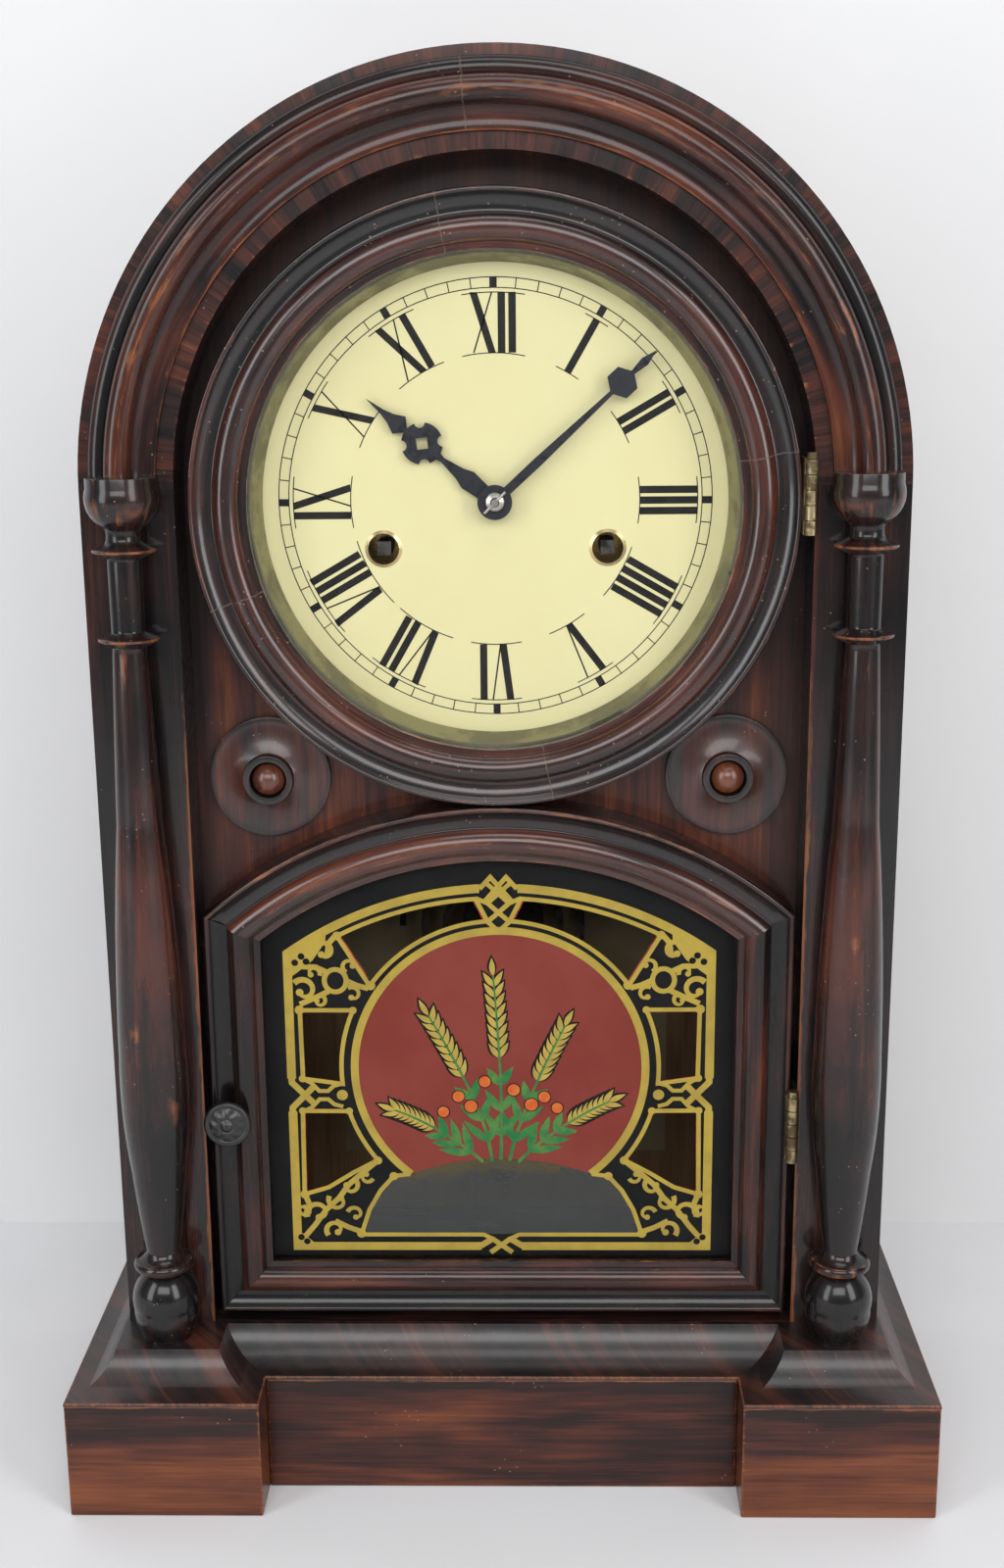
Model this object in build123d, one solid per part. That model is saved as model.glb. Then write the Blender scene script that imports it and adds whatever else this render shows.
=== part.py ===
from build123d import *
import math
import os

# A round-top shelf clock with two doors, applied columns and a pendulum movement.
# Millimetres, +Z up, the front faces -Y, the origin lies on the floor under the middle.

# Whole clock
overall_height = 470.0
overall_depth = 125.0
overall_width = 291.0
seat_gap = 0.3
overrun = 5.0

# Base
base_half_width = overall_width / 2
base_margin = 16.0
block_width = 65.2
block_height = 41.2
block_projection = 33.5
cove_height = 12.6
cove_reach = 15.0
cove_lip = 1.2
apron_setback = 16.8
apron_thickness = 16.0

# Case boards
case_wall = 10.0
case_half_width = base_half_width - base_margin
face_stile_width = 29.7
recess_half_width = case_half_width - face_stile_width
face_board_thickness = 18.0
panel_thickness = 5.0
back_board_thickness = 5.0

# Places that follow from the case
arch_z = overall_height - case_half_width
base_top = block_height + cove_height
front_y = -overall_depth / 2
back_y = overall_depth / 2
face_y = front_y + block_projection
panel_y = face_y + face_board_thickness
panel_back_y = panel_y + panel_thickness
back_board_y = back_y - back_board_thickness
inner_half_width = case_half_width - case_wall
movement_space = back_board_y - panel_back_y

# Arch moulding, from its outer edge inwards
moulding_margin = 3.5
moulding_outer_radius = case_half_width - moulding_margin
moulding_bead_width = 6.0
moulding_bead_height = 3.4
moulding_roll_width = 7.6
moulding_roll_height = 9.4
moulding_cove_width = 5.6
moulding_fillet_width = 1.8
moulding_fillet_height = 1.6
moulding_step = 1.8
moulding_foot_rise = 4.5
moulding_foot_z = arch_z + moulding_foot_rise

# Columns: the upper members hang from the moulding foot, the lower ones stand on the base
column_x = case_half_width - face_stile_width / 2
column_axis_setback = 7.5
column_cup_radius = 10.8
column_cup_lip = 5.0
column_neck_drop = 17.4
column_neck_z = moulding_foot_z - column_neck_drop
column_neck_radius = 5.6
column_collar_drop = 22.5
column_collar_z = moulding_foot_z - column_collar_drop
column_collar_radius = 9.6
column_collar_half_height = 2.0
column_shaft_radius = 5.4
column_lower_collar_drop = 50.4
column_lower_collar_z = moulding_foot_z - column_lower_collar_drop
column_lower_collar_radius = 9.2
column_belly_rise = 102.2
column_belly_z = base_top + column_belly_rise
column_belly_radius = 11.0
column_ankle_rise = 31.8
column_ankle_z = base_top + column_ankle_rise
column_ankle_radius = 5.8
column_ring_rise = 26.6
column_ring_z = base_top + column_ring_rise
column_ring_radius = 9.6
column_foot_radius = 11.0
column_foot_rise = 10.7
column_foot_z = base_top + column_foot_rise
column_sole_radius = 8.6

# Turned roundels beside the dial
roundel_share = 0.2024
roundel_radius = recess_half_width * roundel_share
roundel_margin = 4.0
roundel_door_gap = 1.0
roundel_rim_width = 1.4
roundel_rim_height = 2.2
roundel_dish_height = 4.6
roundel_collar_radius = 8.2
roundel_collar_width = 2.1
roundel_collar_height = 7.2
roundel_ball_radius = 5.5
roundel_height = 9.8

# Moulded door rail, measured from its outer edge inwards and forwards from its back
door_clearance = 0.5
rail_width = 18.4
rail_edge_height = 15.0
rail_bead_width = 6.4
rail_bead_height = 2.8
rail_valley_width = 1.0
rail_valley_drop = 0.8
rail_roll_width = 8.8
rail_roll_height = 4.2
rail_lip_height = 15.0
rail_rebate_width = 14.0
rail_rebate_depth = 12.7
rail_back_y = panel_y - door_clearance
glass_thickness = 2.0
glass_clearance = 0.4

# Dial door
dial_x = 0.0
dial_drop = 5.6
dial_z = arch_z - dial_drop
dial_door_drop = 0.7
dial_door_z = dial_z - dial_door_drop
dial_door_margin = 3.8
dial_door_radius = recess_half_width - dial_door_margin
dial_margin = 20.0
dial_radius = dial_door_radius - dial_margin
sight_ring_inset = 1.6
sight_ring_back_radius = dial_radius - sight_ring_inset
sight_ring_thickness = 0.8

# Place of the roundels, between the dial door and the wall of the recess
roundel_x = recess_half_width - roundel_radius - roundel_margin
roundel_reach = dial_door_radius + roundel_radius + roundel_door_gap
roundel_z = dial_door_z - math.sqrt(roundel_reach ** 2 - roundel_x ** 2)

# Lower door: its crown stands just below the dial door
lower_door_margin = 2.3
lower_door_half_width = recess_half_width - lower_door_margin
lower_door_sill = 3.2
lower_door_bottom_z = base_top + lower_door_sill
lower_door_arc_excess = 49.5
lower_door_arc_radius = lower_door_half_width + lower_door_arc_excess
lower_door_crown_gap = 0.7
lower_door_arc_z = dial_door_z - dial_door_radius - lower_door_crown_gap - lower_door_arc_radius
lower_door_shoulder_z = lower_door_arc_z + math.sqrt(lower_door_arc_radius ** 2 - lower_door_half_width ** 2)
stile_middle_z = (lower_door_bottom_z + lower_door_shoulder_z) / 2
stop_bead_thickness = 3.0
stop_bead_width = 4.0

# Door knob and the latch that it turns
knob_inset = 6.2
knob_offset = 1.25
knob_x = knob_inset - lower_door_half_width
knob_z = stile_middle_z + knob_offset
knob_radius = 8.0
knob_height = 6.4
knob_neck_radius = 4.4
knob_neck_height = 1.8
latch_shaft_radius = 1.6
latch_length = 10.8
latch_width = 5.0
latch_thickness = 1.2
latch_setback = 7.4
latch_y = panel_y - latch_setback
latch_clearance = 0.6

# Butt hinges of the two doors
hinge_length = 23.4
hinge_knuckles = 5
hinge_knuckle_radius = 2.0
hinge_pin_radius = 0.9
hinge_pin_clearance = 0.05
hinge_pin_head_radius = 1.7
hinge_pin_head_height = 2.0
hinge_leaf_thickness = 0.9
hinge_leaf_width = 15.0
hinge_knuckle_gap = 0.3
hinge_setback = 21.9
dial_hinge_rise = 2.2
hinge_y = rail_back_y - hinge_setback
hinge_x = recess_half_width - hinge_knuckle_radius
dial_hinge_z = dial_z + dial_hinge_rise
lower_hinge_z = stile_middle_z - knob_offset

# Recessed panel behind the doors
panel_clearance = 0.2
panel_hole_inset = 8.0
panel_dial_hole_radius = dial_radius - panel_hole_inset
panel_opening_inset = 24.0
panel_opening_sill = 9.0
panel_opening_floor_z = lower_door_bottom_z + panel_opening_sill

# Dial pan
dial_thickness = 0.7
dial_rim_depth = 2.0
dial_rim_width = 0.8
dial_centre_hole_radius = 4.6
grommet_radius = 6.0
grommet_bore_radius = 5.0
grommet_flange_height = 0.6
grommet_neck_radius = 5.5
grommet_depth = 2.0

# Places that follow from the dial
dial_back_y = panel_y - dial_rim_depth + dial_thickness
dial_front_y = panel_y - dial_rim_depth

# Hands, each pointing up before it is turned to the time shown
hand_thickness = 0.8
minute_hand_angle = 47.5
minute_hand_inset = 7.0
minute_hand_length = dial_radius - minute_hand_inset
minute_hub_radius = 5.5
minute_hub_bore_radius = 3.5
minute_stem_half_width = 1.5
minute_neck_half_width = 0.7
minute_tip_length = 14.5
minute_cross_radius = minute_hand_length - minute_tip_length
minute_cross_size = 4.5
hour_hand_angle = 308.8
hour_hand_length = dial_radius * 0.684
hour_hub_radius = 5.2
hour_stem_half_width = 2.0
hour_neck_half_width = 0.8
hour_shoulder_radius = dial_radius * 0.145
hour_shoulder_half_width = 3.2
hour_cross_radius = dial_radius * 0.387
hour_cross_size = dial_radius * 0.087
hour_cross_hole = 3.6
hour_cross_notch_radius = 1.7
hour_leaf_radius = dial_radius * 0.553
hour_leaf_half_width = 3.4
hour_hand_gap = 1.4
minute_hand_gap = 3.8
hand_washer_height = 0.8
hand_pin_radius = 0.5
hand_pin_length = 9.5
hand_pin_angle = 45.0

# Movement plates
plate_thickness = 1.5
plate_spacing = movement_space * 0.4724
front_plate_y = panel_back_y + movement_space * 0.126
pillar_radius = 2.6
pillar_body_radius = 3.6
pillar_nut_radius = 4.0
nut_sides = 6
pillar_nut_height = 2.0
pillar_clearance = 0.02
plate_corner_radius = 6.0
plate_shoulder_x = 76.0
plate_shoulder_rise = 17.1
plate_shoulder_z = dial_z + plate_shoulder_rise
plate_foot_x = 64.0
plate_foot_drop = 58.9
plate_foot_z = dial_z - plate_foot_drop
plate_head_x = 34.0
plate_head_rise = 69.1
plate_head_z = dial_z + plate_head_rise
plate_toe_drop = 61.9
plate_toe_z = dial_z - plate_toe_drop
plate_ear_x = 84.0
plate_ear_half_width = 6.0
plate_ear_drop = 28.9
plate_ear_low_z = dial_z - plate_ear_drop
plate_ear_high_z = plate_shoulder_z
pivot_clearance = 0.05

# Places that follow from the plates
front_plate_back_y = front_plate_y + plate_thickness
back_plate_y = front_plate_back_y + plate_spacing
back_plate_back_y = back_plate_y + plate_thickness
rear_space = back_board_y - back_plate_back_y

# Wheels: numbers of teeth and the modules that set their sizes
great_teeth = 72
strike_great_teeth = 60
great_module = 1.0
centre_pinion_leaves = 6
centre_teeth = 60
centre_module = 0.7
third_pinion_leaves = 6
third_teeth = 48
third_module = 0.6
escape_pinion_leaves = 6
escape_teeth = 42
escape_radius = 14.4
escape_tooth_depth = 2.6
pin_wheel_pinion_leaves = 10
pin_wheel_teeth = 60
pin_wheel_module = 0.7
fly_pinion_leaves = 6
minute_pinion_teeth = 12
minute_wheel_teeth = 36
minute_pinion_leaves = 10
hour_wheel_teeth = 40
motion_distance = 19.2
wheel_thickness = 1.2
great_wheel_thickness = 2.0
arbor_radius = 1.2
great_arbor_radius = 2.6
mesh_backlash_share = 0.4
tooth_height_share = 0.76
tooth_root_share = 1.15

# Places of the arbors in the movement
winding_x = 36.0
winding_drop = 15.0
winding_z = dial_z - winding_drop
third_bearing = 65.0
verge_rise = 53.7
verge_z = dial_z + verge_rise
pin_wheel_bearing = 98.0
fly_bearing = 40.0
minute_wheel_bearing = 150.0

# Heights of the wheels between the plates, behind the front plate
spring_pitch = 4.6
spring_strip = 0.8
spring_turns = 5
spring_end_angle = -104.5
spring_tail = 28.0
ratchet_radius = 9.0
ratchet_teeth = 18
ratchet_thickness = 1.0
click_pivot_radius = 2.6
click_reach = 7.0
click_bearing = 120.0
click_lean = 18.0
great_wheel_setback = 5.6
great_wheel_depth = plate_spacing - great_wheel_setback
ratchet_setback = 1.4
ratchet_depth = great_wheel_depth - ratchet_setback
centre_wheel_setback = 3.0
centre_wheel_depth = great_wheel_depth - centre_wheel_setback
spring_setback = 2.8
spring_width = centre_wheel_depth - spring_setback
third_wheel_depth = plate_spacing * 0.4667
escape_wheel_depth = plate_spacing * 0.2
pinion_margin = 0.6
winding_square = 4.4
winding_end_y = dial_back_y + 1.2
pin_count = 13
pin_circle_radius = 14.0
pin_radius = 0.7
pin_length = 1.4
pin_sides = 6
fly_depth = plate_spacing * 0.3
fly_width = plate_spacing * 0.3
fly_radius = 10.0
fly_thickness = 0.5
minute_wheel_gap = 1.0
motion_wheel_gap = 2.4
stud_radius = 1.6
sleeve_radius = 2.0

# Verge, crutch and pendulum
verge_hub_radius = 3.2
verge_tip_x = 10.5
verge_tip_drop = 7.1
verge_arm_width = 2.6
cock_half_width = 16.0
cock_leg_width = 3.0
cock_thickness = rear_space * 0.089
cock_half_height = 4.5
cock_standoff = rear_space * 0.267
crutch_standoff = rear_space * 0.107
crutch_thickness = rear_space * 0.044
crutch_length = 38.0
crutch_width = 2.4
crutch_fork_gap = 0.35
crutch_fork_reach = rear_space * 0.133
pendulum_y = back_plate_back_y + rear_space * 0.4
pendulum_rod_radius = 1.0
suspension_length = 14.0
suspension_width = rear_space * 0.178
suspension_thickness = 0.4
suspension_stud_radius = 2.2
suspension_stud_rise = 3.4
pendulum_tail = 10.0
bob_radius = 27.0
bob_edge = 2.0
bob_thickness = rear_space * 0.356
bob_rise = 49.8
bob_bore_clearance = 0.1
rating_nut_radius = 5.0
rating_nut_thickness = 3.0

# Hammer and gong
hammer_x = -14.0
hammer_drop = 41.4
hammer_z = dial_z - hammer_drop
hammer_arm_radius = 1.0
hammer_head_radius = 4.0
hammer_head_length = 12.0
hammer_gap = 2.0
gong_rise = 118.2
gong_z = base_top + gong_rise
hammer_head_rise = 6.0
hammer_head_z = gong_z + hammer_head_rise
gong_wire = 2.2
gong_pitch = 8.0
gong_turns = 4
gong_inner_radius = 5.5
gong_base_radius = 15.0
gong_base_thickness = 3.0
gong_setback = 6.0
gong_y = back_board_y - gong_setback

# Movement mounting rails and their screws
mount_rail_width = 16.0
mount_rail_overhang = 10.0
screw_radius = 1.8
screw_head_radius = 3.6
screw_head_height = 2.0
screw_grip = rear_space * 0.62

# Paper label on the inside of the back board
label_half_width = 62.0
label_sill = 24.2
label_bottom_z = base_top + label_sill
label_height = 204.0
label_top_z = label_bottom_z + label_height
label_thickness = 0.25


def outline(start, *steps):
    """Closed face: a step is a point, with a third value the rise of an arc to its left."""
    edges = []
    here = start
    for step in steps:
        end = (step[0], step[1])
        if len(step) == 3:
            span_u = end[0] - here[0]
            span_v = end[1] - here[1]
            span = math.hypot(span_u, span_v)
            through = (
                (here[0] + end[0]) / 2 - span_v / span * step[2],
                (here[1] + end[1]) / 2 + span_u / span * step[2],
            )
            edges.append(ThreePointArc(here, through, end))
        else:
            edges.append(Line(here, end))
        here = end
    edges.append(Line(here, start))
    return make_face(edges)


def block(x_from, x_to, y_from, y_to, z_from, z_to):
    """Box between pairs of planes."""
    size = (x_to - x_from, y_to - y_from, z_to - z_from)
    middle = ((x_from + x_to) / 2, (y_from + y_to) / 2, (z_from + z_to) / 2)
    return Pos(*middle) * Box(*size)


def rod(x, z, radius, y_from, y_to):
    """Round bar along Y."""
    place = Plane(origin=(x, y_from, z), x_dir=(1, 0, 0), z_dir=(0, 1, 0))
    return place * extrude(Circle(radius), y_to - y_from)


def plate(face, y_from, y_to):
    """Flat piece: a face drawn in X and Z, between two planes of Y."""
    place = Plane(origin=(0, y_to, 0), x_dir=(1, 0, 0), z_dir=(0, -1, 0))
    return place * extrude(face, y_to - y_from)


def turned(face, x, z):
    """Ring or disc: a face drawn in radius and Y, turned about a line along Y."""
    return Pos(x, 0, z) * revolve(face, Axis((0, 0, 0), (0, 1, 0)), 360)


def arched(face, z):
    """Half ring over the top of the clock, from a face drawn in radius and Y."""
    return Pos(0, 0, z) * revolve(face, Axis((0, 0, 0), (0, -1, 0)), 180)


def polar(radius, angle):
    """Point at an angle from +X towards +Z, in degrees."""
    turn = math.radians(angle)
    return radius * math.cos(turn), radius * math.sin(turn)


def mirrored(solid):
    """The same piece on the other side of the clock."""
    return mirror(solid, Plane.YZ)


def tall_arch(half_width, foot_z, y_from, y_to):
    """Round-topped slab around the middle of the clock."""
    top = Pos(0, arch_z) * Circle(half_width)
    legs = Pos(0, (foot_z + arch_z) / 2) * Rectangle(2 * half_width, arch_z - foot_z)
    below = Pos(0, foot_z - overall_height / 2) * Rectangle(2 * overall_height, overall_height)
    return plate(top + legs - below, y_from, y_to)


def dome_rise(radius, height):
    """Rise of the arc from a dome's rim to its middle, for a dome that is level there."""
    sphere = (radius ** 2 + height ** 2) / (2 * height)
    return sphere - math.sqrt(sphere ** 2 - (radius ** 2 + height ** 2) / 4)


# Case boards

def case_side():
    """Right side board."""
    return block(inner_half_width, case_half_width, panel_y, back_y, base_top, arch_z)


def arch_top():
    """Bent board that carries the sides over the top."""
    section = outline(
        (inner_half_width, panel_y),
        (case_half_width, panel_y),
        (case_half_width, back_y),
        (inner_half_width, back_y),
    )
    return arched(section, arch_z)


def back_board():
    """Arched back inside the sides and the bent top."""
    return tall_arch(inner_half_width - panel_clearance, base_top, back_board_y, back_y)


def case_floor():
    """Board under the case, between the cove mouldings."""
    return block(-case_half_width, case_half_width, face_y, back_y, block_height, base_top)


def face_stile():
    """Right upright of the flat front."""
    return block(recess_half_width, case_half_width, face_y, panel_y, base_top, arch_z)


def face_stile_left():
    """Left upright, with the slot that the latch turns into."""
    return mirrored(face_stile()) - latch_slot()


def face_arch():
    """Veneered arch of the flat front."""
    section = outline(
        (recess_half_width, face_y),
        (case_half_width, face_y),
        (case_half_width, panel_y),
        (recess_half_width, panel_y),
    )
    return arched(section, arch_z) - case_leaf_mortise(dial_hinge_z)


def dial_panel():
    """Recessed panel with the dial hole and the opening behind the lower door."""
    slab = tall_arch(inner_half_width - panel_clearance, base_top, panel_y, panel_back_y)
    hole = rod(dial_x, dial_z, panel_dial_hole_radius, panel_y - overrun, panel_back_y + overrun)
    opening = plate(
        door_outline(panel_opening_inset, panel_opening_floor_z),
        panel_y - overrun,
        panel_back_y + overrun,
    )
    return slab - hole - opening


def arch_moulding():
    """Bead, roll, cove and fillet round the arch, cut off on the column cups."""
    bead_in = moulding_outer_radius - moulding_bead_width
    roll_in = bead_in - moulding_roll_width
    cove_in = roll_in - moulding_cove_width
    fillet_in = cove_in - moulding_fillet_width
    bead_y = face_y - moulding_bead_height
    roll_rise = moulding_roll_height - moulding_bead_height
    section = outline(
        (moulding_outer_radius, face_y),
        (moulding_outer_radius, face_y - moulding_step),
        (bead_in, bead_y, moulding_fillet_height),
        (roll_in, bead_y, roll_rise),
        (cove_in, face_y - moulding_fillet_height, -moulding_fillet_height / 2),
        (fillet_in, face_y - moulding_fillet_height),
        (fillet_in, face_y),
    )
    ring = arched(section, arch_z)
    below = block(
        -base_half_width, base_half_width, front_y, face_y + overrun, arch_z - overrun, moulding_foot_z
    )
    return ring - below


def column_turning():
    """Turned column about the Z axis, from the cup at the top to its foot."""
    collar = column_collar_half_height
    cup_rise = (column_cup_radius - column_neck_radius) / 2
    belly_rise = (column_belly_radius - column_shaft_radius) / 3
    profile = outline(
        (0, moulding_foot_z),
        (column_cup_radius, moulding_foot_z),
        (column_cup_radius, moulding_foot_z - column_cup_lip),
        (column_neck_radius, column_neck_z, cup_rise / 2),
        (column_shaft_radius + collar / 2, column_collar_z + collar),
        (column_collar_radius, column_collar_z + collar / 2),
        (column_shaft_radius, column_collar_z - collar),
        (column_shaft_radius, column_lower_collar_z + collar),
        (column_lower_collar_radius, column_lower_collar_z + collar / 2),
        (column_shaft_radius, column_lower_collar_z - collar),
        (column_belly_radius, column_belly_z, belly_rise / 2),
        (column_ankle_radius, column_ankle_z, belly_rise / 2),
        (column_ring_radius, column_ring_z + collar / 2),
        (column_ring_radius, column_ring_z - collar / 2, collar / 2),
        (column_ankle_radius, column_ring_z - collar),
        (column_foot_radius, column_foot_z, collar),
        (column_sole_radius, base_top, collar / 3),
        (0, base_top),
    )
    return revolve(Plane.XZ * profile, Axis.Z, 360)


def column():
    """Right column, planed flat where it is glued to the front."""
    turning = Pos(column_x, face_y - column_axis_setback, 0) * column_turning()
    behind = block(0, base_half_width, face_y, back_y, 0, overall_height)
    return turning - behind


def roundel():
    """Turned boss with a rim, a dish, a collar and a ball."""
    rim_in = roundel_radius - roundel_rim_width
    collar_out = roundel_collar_radius
    collar_in = collar_out - roundel_collar_width
    ball_y = panel_y - roundel_height + roundel_ball_radius
    section = outline(
        (0, panel_y),
        (roundel_radius, panel_y),
        (roundel_radius, panel_y - roundel_rim_height),
        (rim_in, panel_y - roundel_rim_height),
        (collar_out, panel_y - roundel_dish_height, -roundel_rim_width / 2),
        (collar_out, panel_y - roundel_collar_height),
        (collar_in, panel_y - roundel_collar_height),
        (roundel_ball_radius, ball_y),
        (0, panel_y - roundel_height, dome_rise(roundel_ball_radius, roundel_ball_radius)),
    )
    return turned(section, roundel_x, roundel_z)


# Base

def cove_outline(edge, top_edge, foot, height):
    """Half of a cove board in section: its coved edge faces outwards."""
    sag = abs(top_edge - edge) * (math.sqrt(2) - 1) / 2
    side = 1 if edge > top_edge else -1
    return outline(
        (foot, 0),
        (edge, 0),
        (edge, cove_lip),
        (top_edge, height, -side * sag),
        (foot, height),
    )


def base_block():
    """Right plinth block, square and plain."""
    inner = base_half_width - block_width
    return block(inner, base_half_width, front_y, back_y, 0, block_height)


def block_cove():
    """Cove board on the right block, mitred round three sides and cut for the case."""
    inner = base_half_width - block_width
    middle = (inner + base_half_width) / 2
    outer_half = cove_outline(base_half_width, base_half_width - cove_reach, middle, cove_height)
    inner_half = cove_outline(inner, inner + cove_reach, middle, cove_height)
    across = Plane(origin=(0, back_y, block_height), x_dir=(1, 0, 0), z_dir=(0, -1, 0))
    sides = across * extrude(outer_half + inner_half, overall_depth)
    along = Plane(origin=(inner, 0, block_height), x_dir=(0, 1, 0), z_dir=(1, 0, 0))
    front = along * extrude(cove_outline(front_y, front_y + cove_reach, back_y, cove_height), block_width)
    return (sides & front) - case_floor()


def apron():
    """Board between the two blocks, down to the floor."""
    inner = base_half_width - block_width
    apron_y = front_y + apron_setback
    return block(-inner, inner, apron_y, apron_y + apron_thickness, 0, block_height)


def apron_cove(right):
    """Cove over the apron, coped into the coves of the blocks."""
    reach = base_half_width - block_width + cove_reach
    apron_y = front_y + apron_setback
    along = Plane(origin=(-reach, 0, block_height), x_dir=(0, 1, 0), z_dir=(1, 0, 0))
    run = along * extrude(cove_outline(apron_y, apron_y + cove_reach, face_y, cove_height), 2 * reach)
    return run - right - mirrored(right) - case_floor()


# Doors

def rail_section(reach):
    """Section of the door moulding in X and Y, its outer edge at X = reach."""
    edge_y = rail_back_y - rail_edge_height
    bead_in = reach - rail_bead_width
    valley_in = bead_in - rail_valley_width
    roll_in = valley_in - rail_roll_width
    lip = reach - rail_width
    rebate = reach - rail_rebate_width
    return outline(
        (reach, rail_back_y),
        (reach, edge_y),
        (bead_in, edge_y, rail_bead_height),
        (valley_in, edge_y + rail_valley_drop),
        (roll_in, edge_y, rail_roll_height),
        (lip, rail_back_y - rail_lip_height),
        (lip, rail_back_y - rail_rebate_depth),
        (rebate, rail_back_y - rail_rebate_depth),
        (rebate, rail_back_y),
    )


def door_outline(inset, floor_z=None):
    """Lower door shape in X and Z, a distance inside its outer edge."""
    half = lower_door_half_width - inset
    bottom = lower_door_bottom_z + inset if floor_z is None else floor_z
    radius = lower_door_arc_radius - inset
    crown = Pos(0, lower_door_arc_z) * Circle(radius)
    band_height = lower_door_arc_z + radius - bottom
    band = Pos(0, bottom + band_height / 2) * Rectangle(2 * half, band_height)
    column_height = lower_door_arc_z - bottom
    legs = Pos(0, bottom + column_height / 2) * Rectangle(2 * half, column_height)
    return (crown & band) + legs


def shoulder(inset):
    """Corner where the stile meets the arched rail, a distance inside the outer edge."""
    x = lower_door_half_width - inset
    radius = lower_door_arc_radius - inset
    return x, lower_door_arc_z + math.sqrt(radius ** 2 - x ** 2)


def mitre_region(name):
    """Part of the lower door that belongs to one of its four rails."""
    outer_x, outer_z = shoulder(0)
    inner_x, inner_z = shoulder(rail_width)
    foot = lower_door_bottom_z
    inner_foot = foot + rail_width
    crown_z = lower_door_arc_z + lower_door_arc_radius + overrun
    corners = {
        "top": [(-outer_x, outer_z), (-outer_x, crown_z), (outer_x, crown_z), (outer_x, outer_z),
                (inner_x, inner_z), (-inner_x, inner_z)],
        "bottom": [(-outer_x, foot), (outer_x, foot), (inner_x, inner_foot), (-inner_x, inner_foot)],
        "right": [(outer_x, foot), (outer_x, outer_z), (inner_x, inner_z), (inner_x, inner_foot)],
    }
    face = make_face(Polyline(*corners[name], close=True))
    return plate(face, front_y, back_y)


def dial_door_ring():
    """Turned wooden ring of the dial door, let in for its hinge leaf."""
    ring = turned(rail_section(dial_door_radius), dial_x, dial_door_z)
    return ring - hinge_mortise(dial_hinge_z)


def glass_y():
    """Front face of a door glass, on the shoulder of its rebate."""
    return rail_back_y - rail_rebate_depth


def dial_glass():
    """Round glass behind the lip of the dial door."""
    radius = dial_door_radius - rail_rebate_width - glass_clearance
    return rod(dial_x, dial_door_z, radius, glass_y(), glass_y() + glass_thickness)


def sight_ring():
    """Spun brass ring behind the glass, coned in towards the dial."""
    outer = dial_door_radius - rail_rebate_width - glass_clearance
    throat = dial_door_radius - rail_width
    top = glass_y() + glass_thickness
    lip = dial_front_y - door_clearance
    section = outline(
        (outer, top),
        (outer, top + sight_ring_thickness),
        (throat, top + sight_ring_thickness),
        (sight_ring_back_radius + sight_ring_thickness, lip),
        (sight_ring_back_radius, lip),
        (throat - sight_ring_thickness, top),
    )
    return turned(section, dial_x, dial_door_z)


def lower_door_top_rail():
    """Arched rail of the lower door, mitred at both shoulders."""
    ring = Pos(0, 0, lower_door_arc_z) * revolve(
        rail_section(lower_door_arc_radius), Axis((0, 0, 0), (0, -1, 0)), 180
    )
    return ring & mitre_region("top")


def lower_door_bottom_rail():
    """Straight rail under the glass."""
    section = Rot(0, 90, 0) * rail_section(-lower_door_bottom_z)
    run = extrude(section, lower_door_half_width, dir=(1, 0, 0), both=True)
    return run & mitre_region("bottom")


def stile():
    """Plain right stile of the lower door."""
    outer_z = shoulder(0)[1]
    run = extrude(rail_section(lower_door_half_width), outer_z + overrun, dir=(0, 0, 1))
    return run & mitre_region("right")


def lower_door_stile_right():
    """Hinge stile, let in for its leaf."""
    return stile() - hinge_mortise(lower_hinge_z)


def latch_slot():
    """Quarter disc in which the latch turns from upright to outwards."""
    reach = latch_length + latch_clearance
    gap = latch_width / 2 + latch_clearance
    half = latch_thickness / 2 + latch_clearance
    sweep = rod(knob_x, knob_z, reach, latch_y - half, latch_y + half)
    quarter = block(knob_x - reach, knob_x + gap, front_y, back_y, knob_z - gap, knob_z + reach)
    return sweep & quarter


def lower_door_stile_left():
    """Latch stile, bored for the knob's shaft and slotted for the latch."""
    bore = rod(knob_x, knob_z, latch_shaft_radius + hinge_pin_clearance, front_y, rail_back_y + overrun)
    return mirrored(stile()) - bore - latch_slot()


def tablet_glass():
    """Painted glass of the lower door."""
    face = door_outline(rail_rebate_width + glass_clearance)
    return plate(face, glass_y(), glass_y() + glass_thickness)


def glass_stops():
    """Thin beads that hold the lower glass in its rebate."""
    start = glass_y() + glass_thickness
    ring = plate(
        door_outline(rail_rebate_width + glass_clearance)
        - door_outline(rail_rebate_width + glass_clearance + stop_bead_width),
        start,
        start + stop_bead_thickness,
    )
    right = ring & mitre_region("right")
    return [ring & mitre_region("top"), ring & mitre_region("bottom"), right, mirrored(right)]


def knob_seat_y():
    """Crest of the door moulding, which the knob stands on."""
    return rail_back_y - rail_edge_height - rail_roll_height


def door_knob():
    """Turned black knob with its shaft."""
    seat = knob_seat_y() - seat_gap
    shaft_end = latch_y - latch_thickness / 2
    brow = seat - knob_neck_height - knob_neck_height / 2
    section = outline(
        (0, shaft_end),
        (latch_shaft_radius, shaft_end),
        (latch_shaft_radius, seat),
        (knob_neck_radius, seat),
        (knob_neck_radius, seat - knob_neck_height),
        (knob_radius, brow),
        (0, seat - knob_height, dome_rise(knob_radius, brow - seat + knob_height)),
    )
    return turned(section, knob_x, knob_z)


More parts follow.
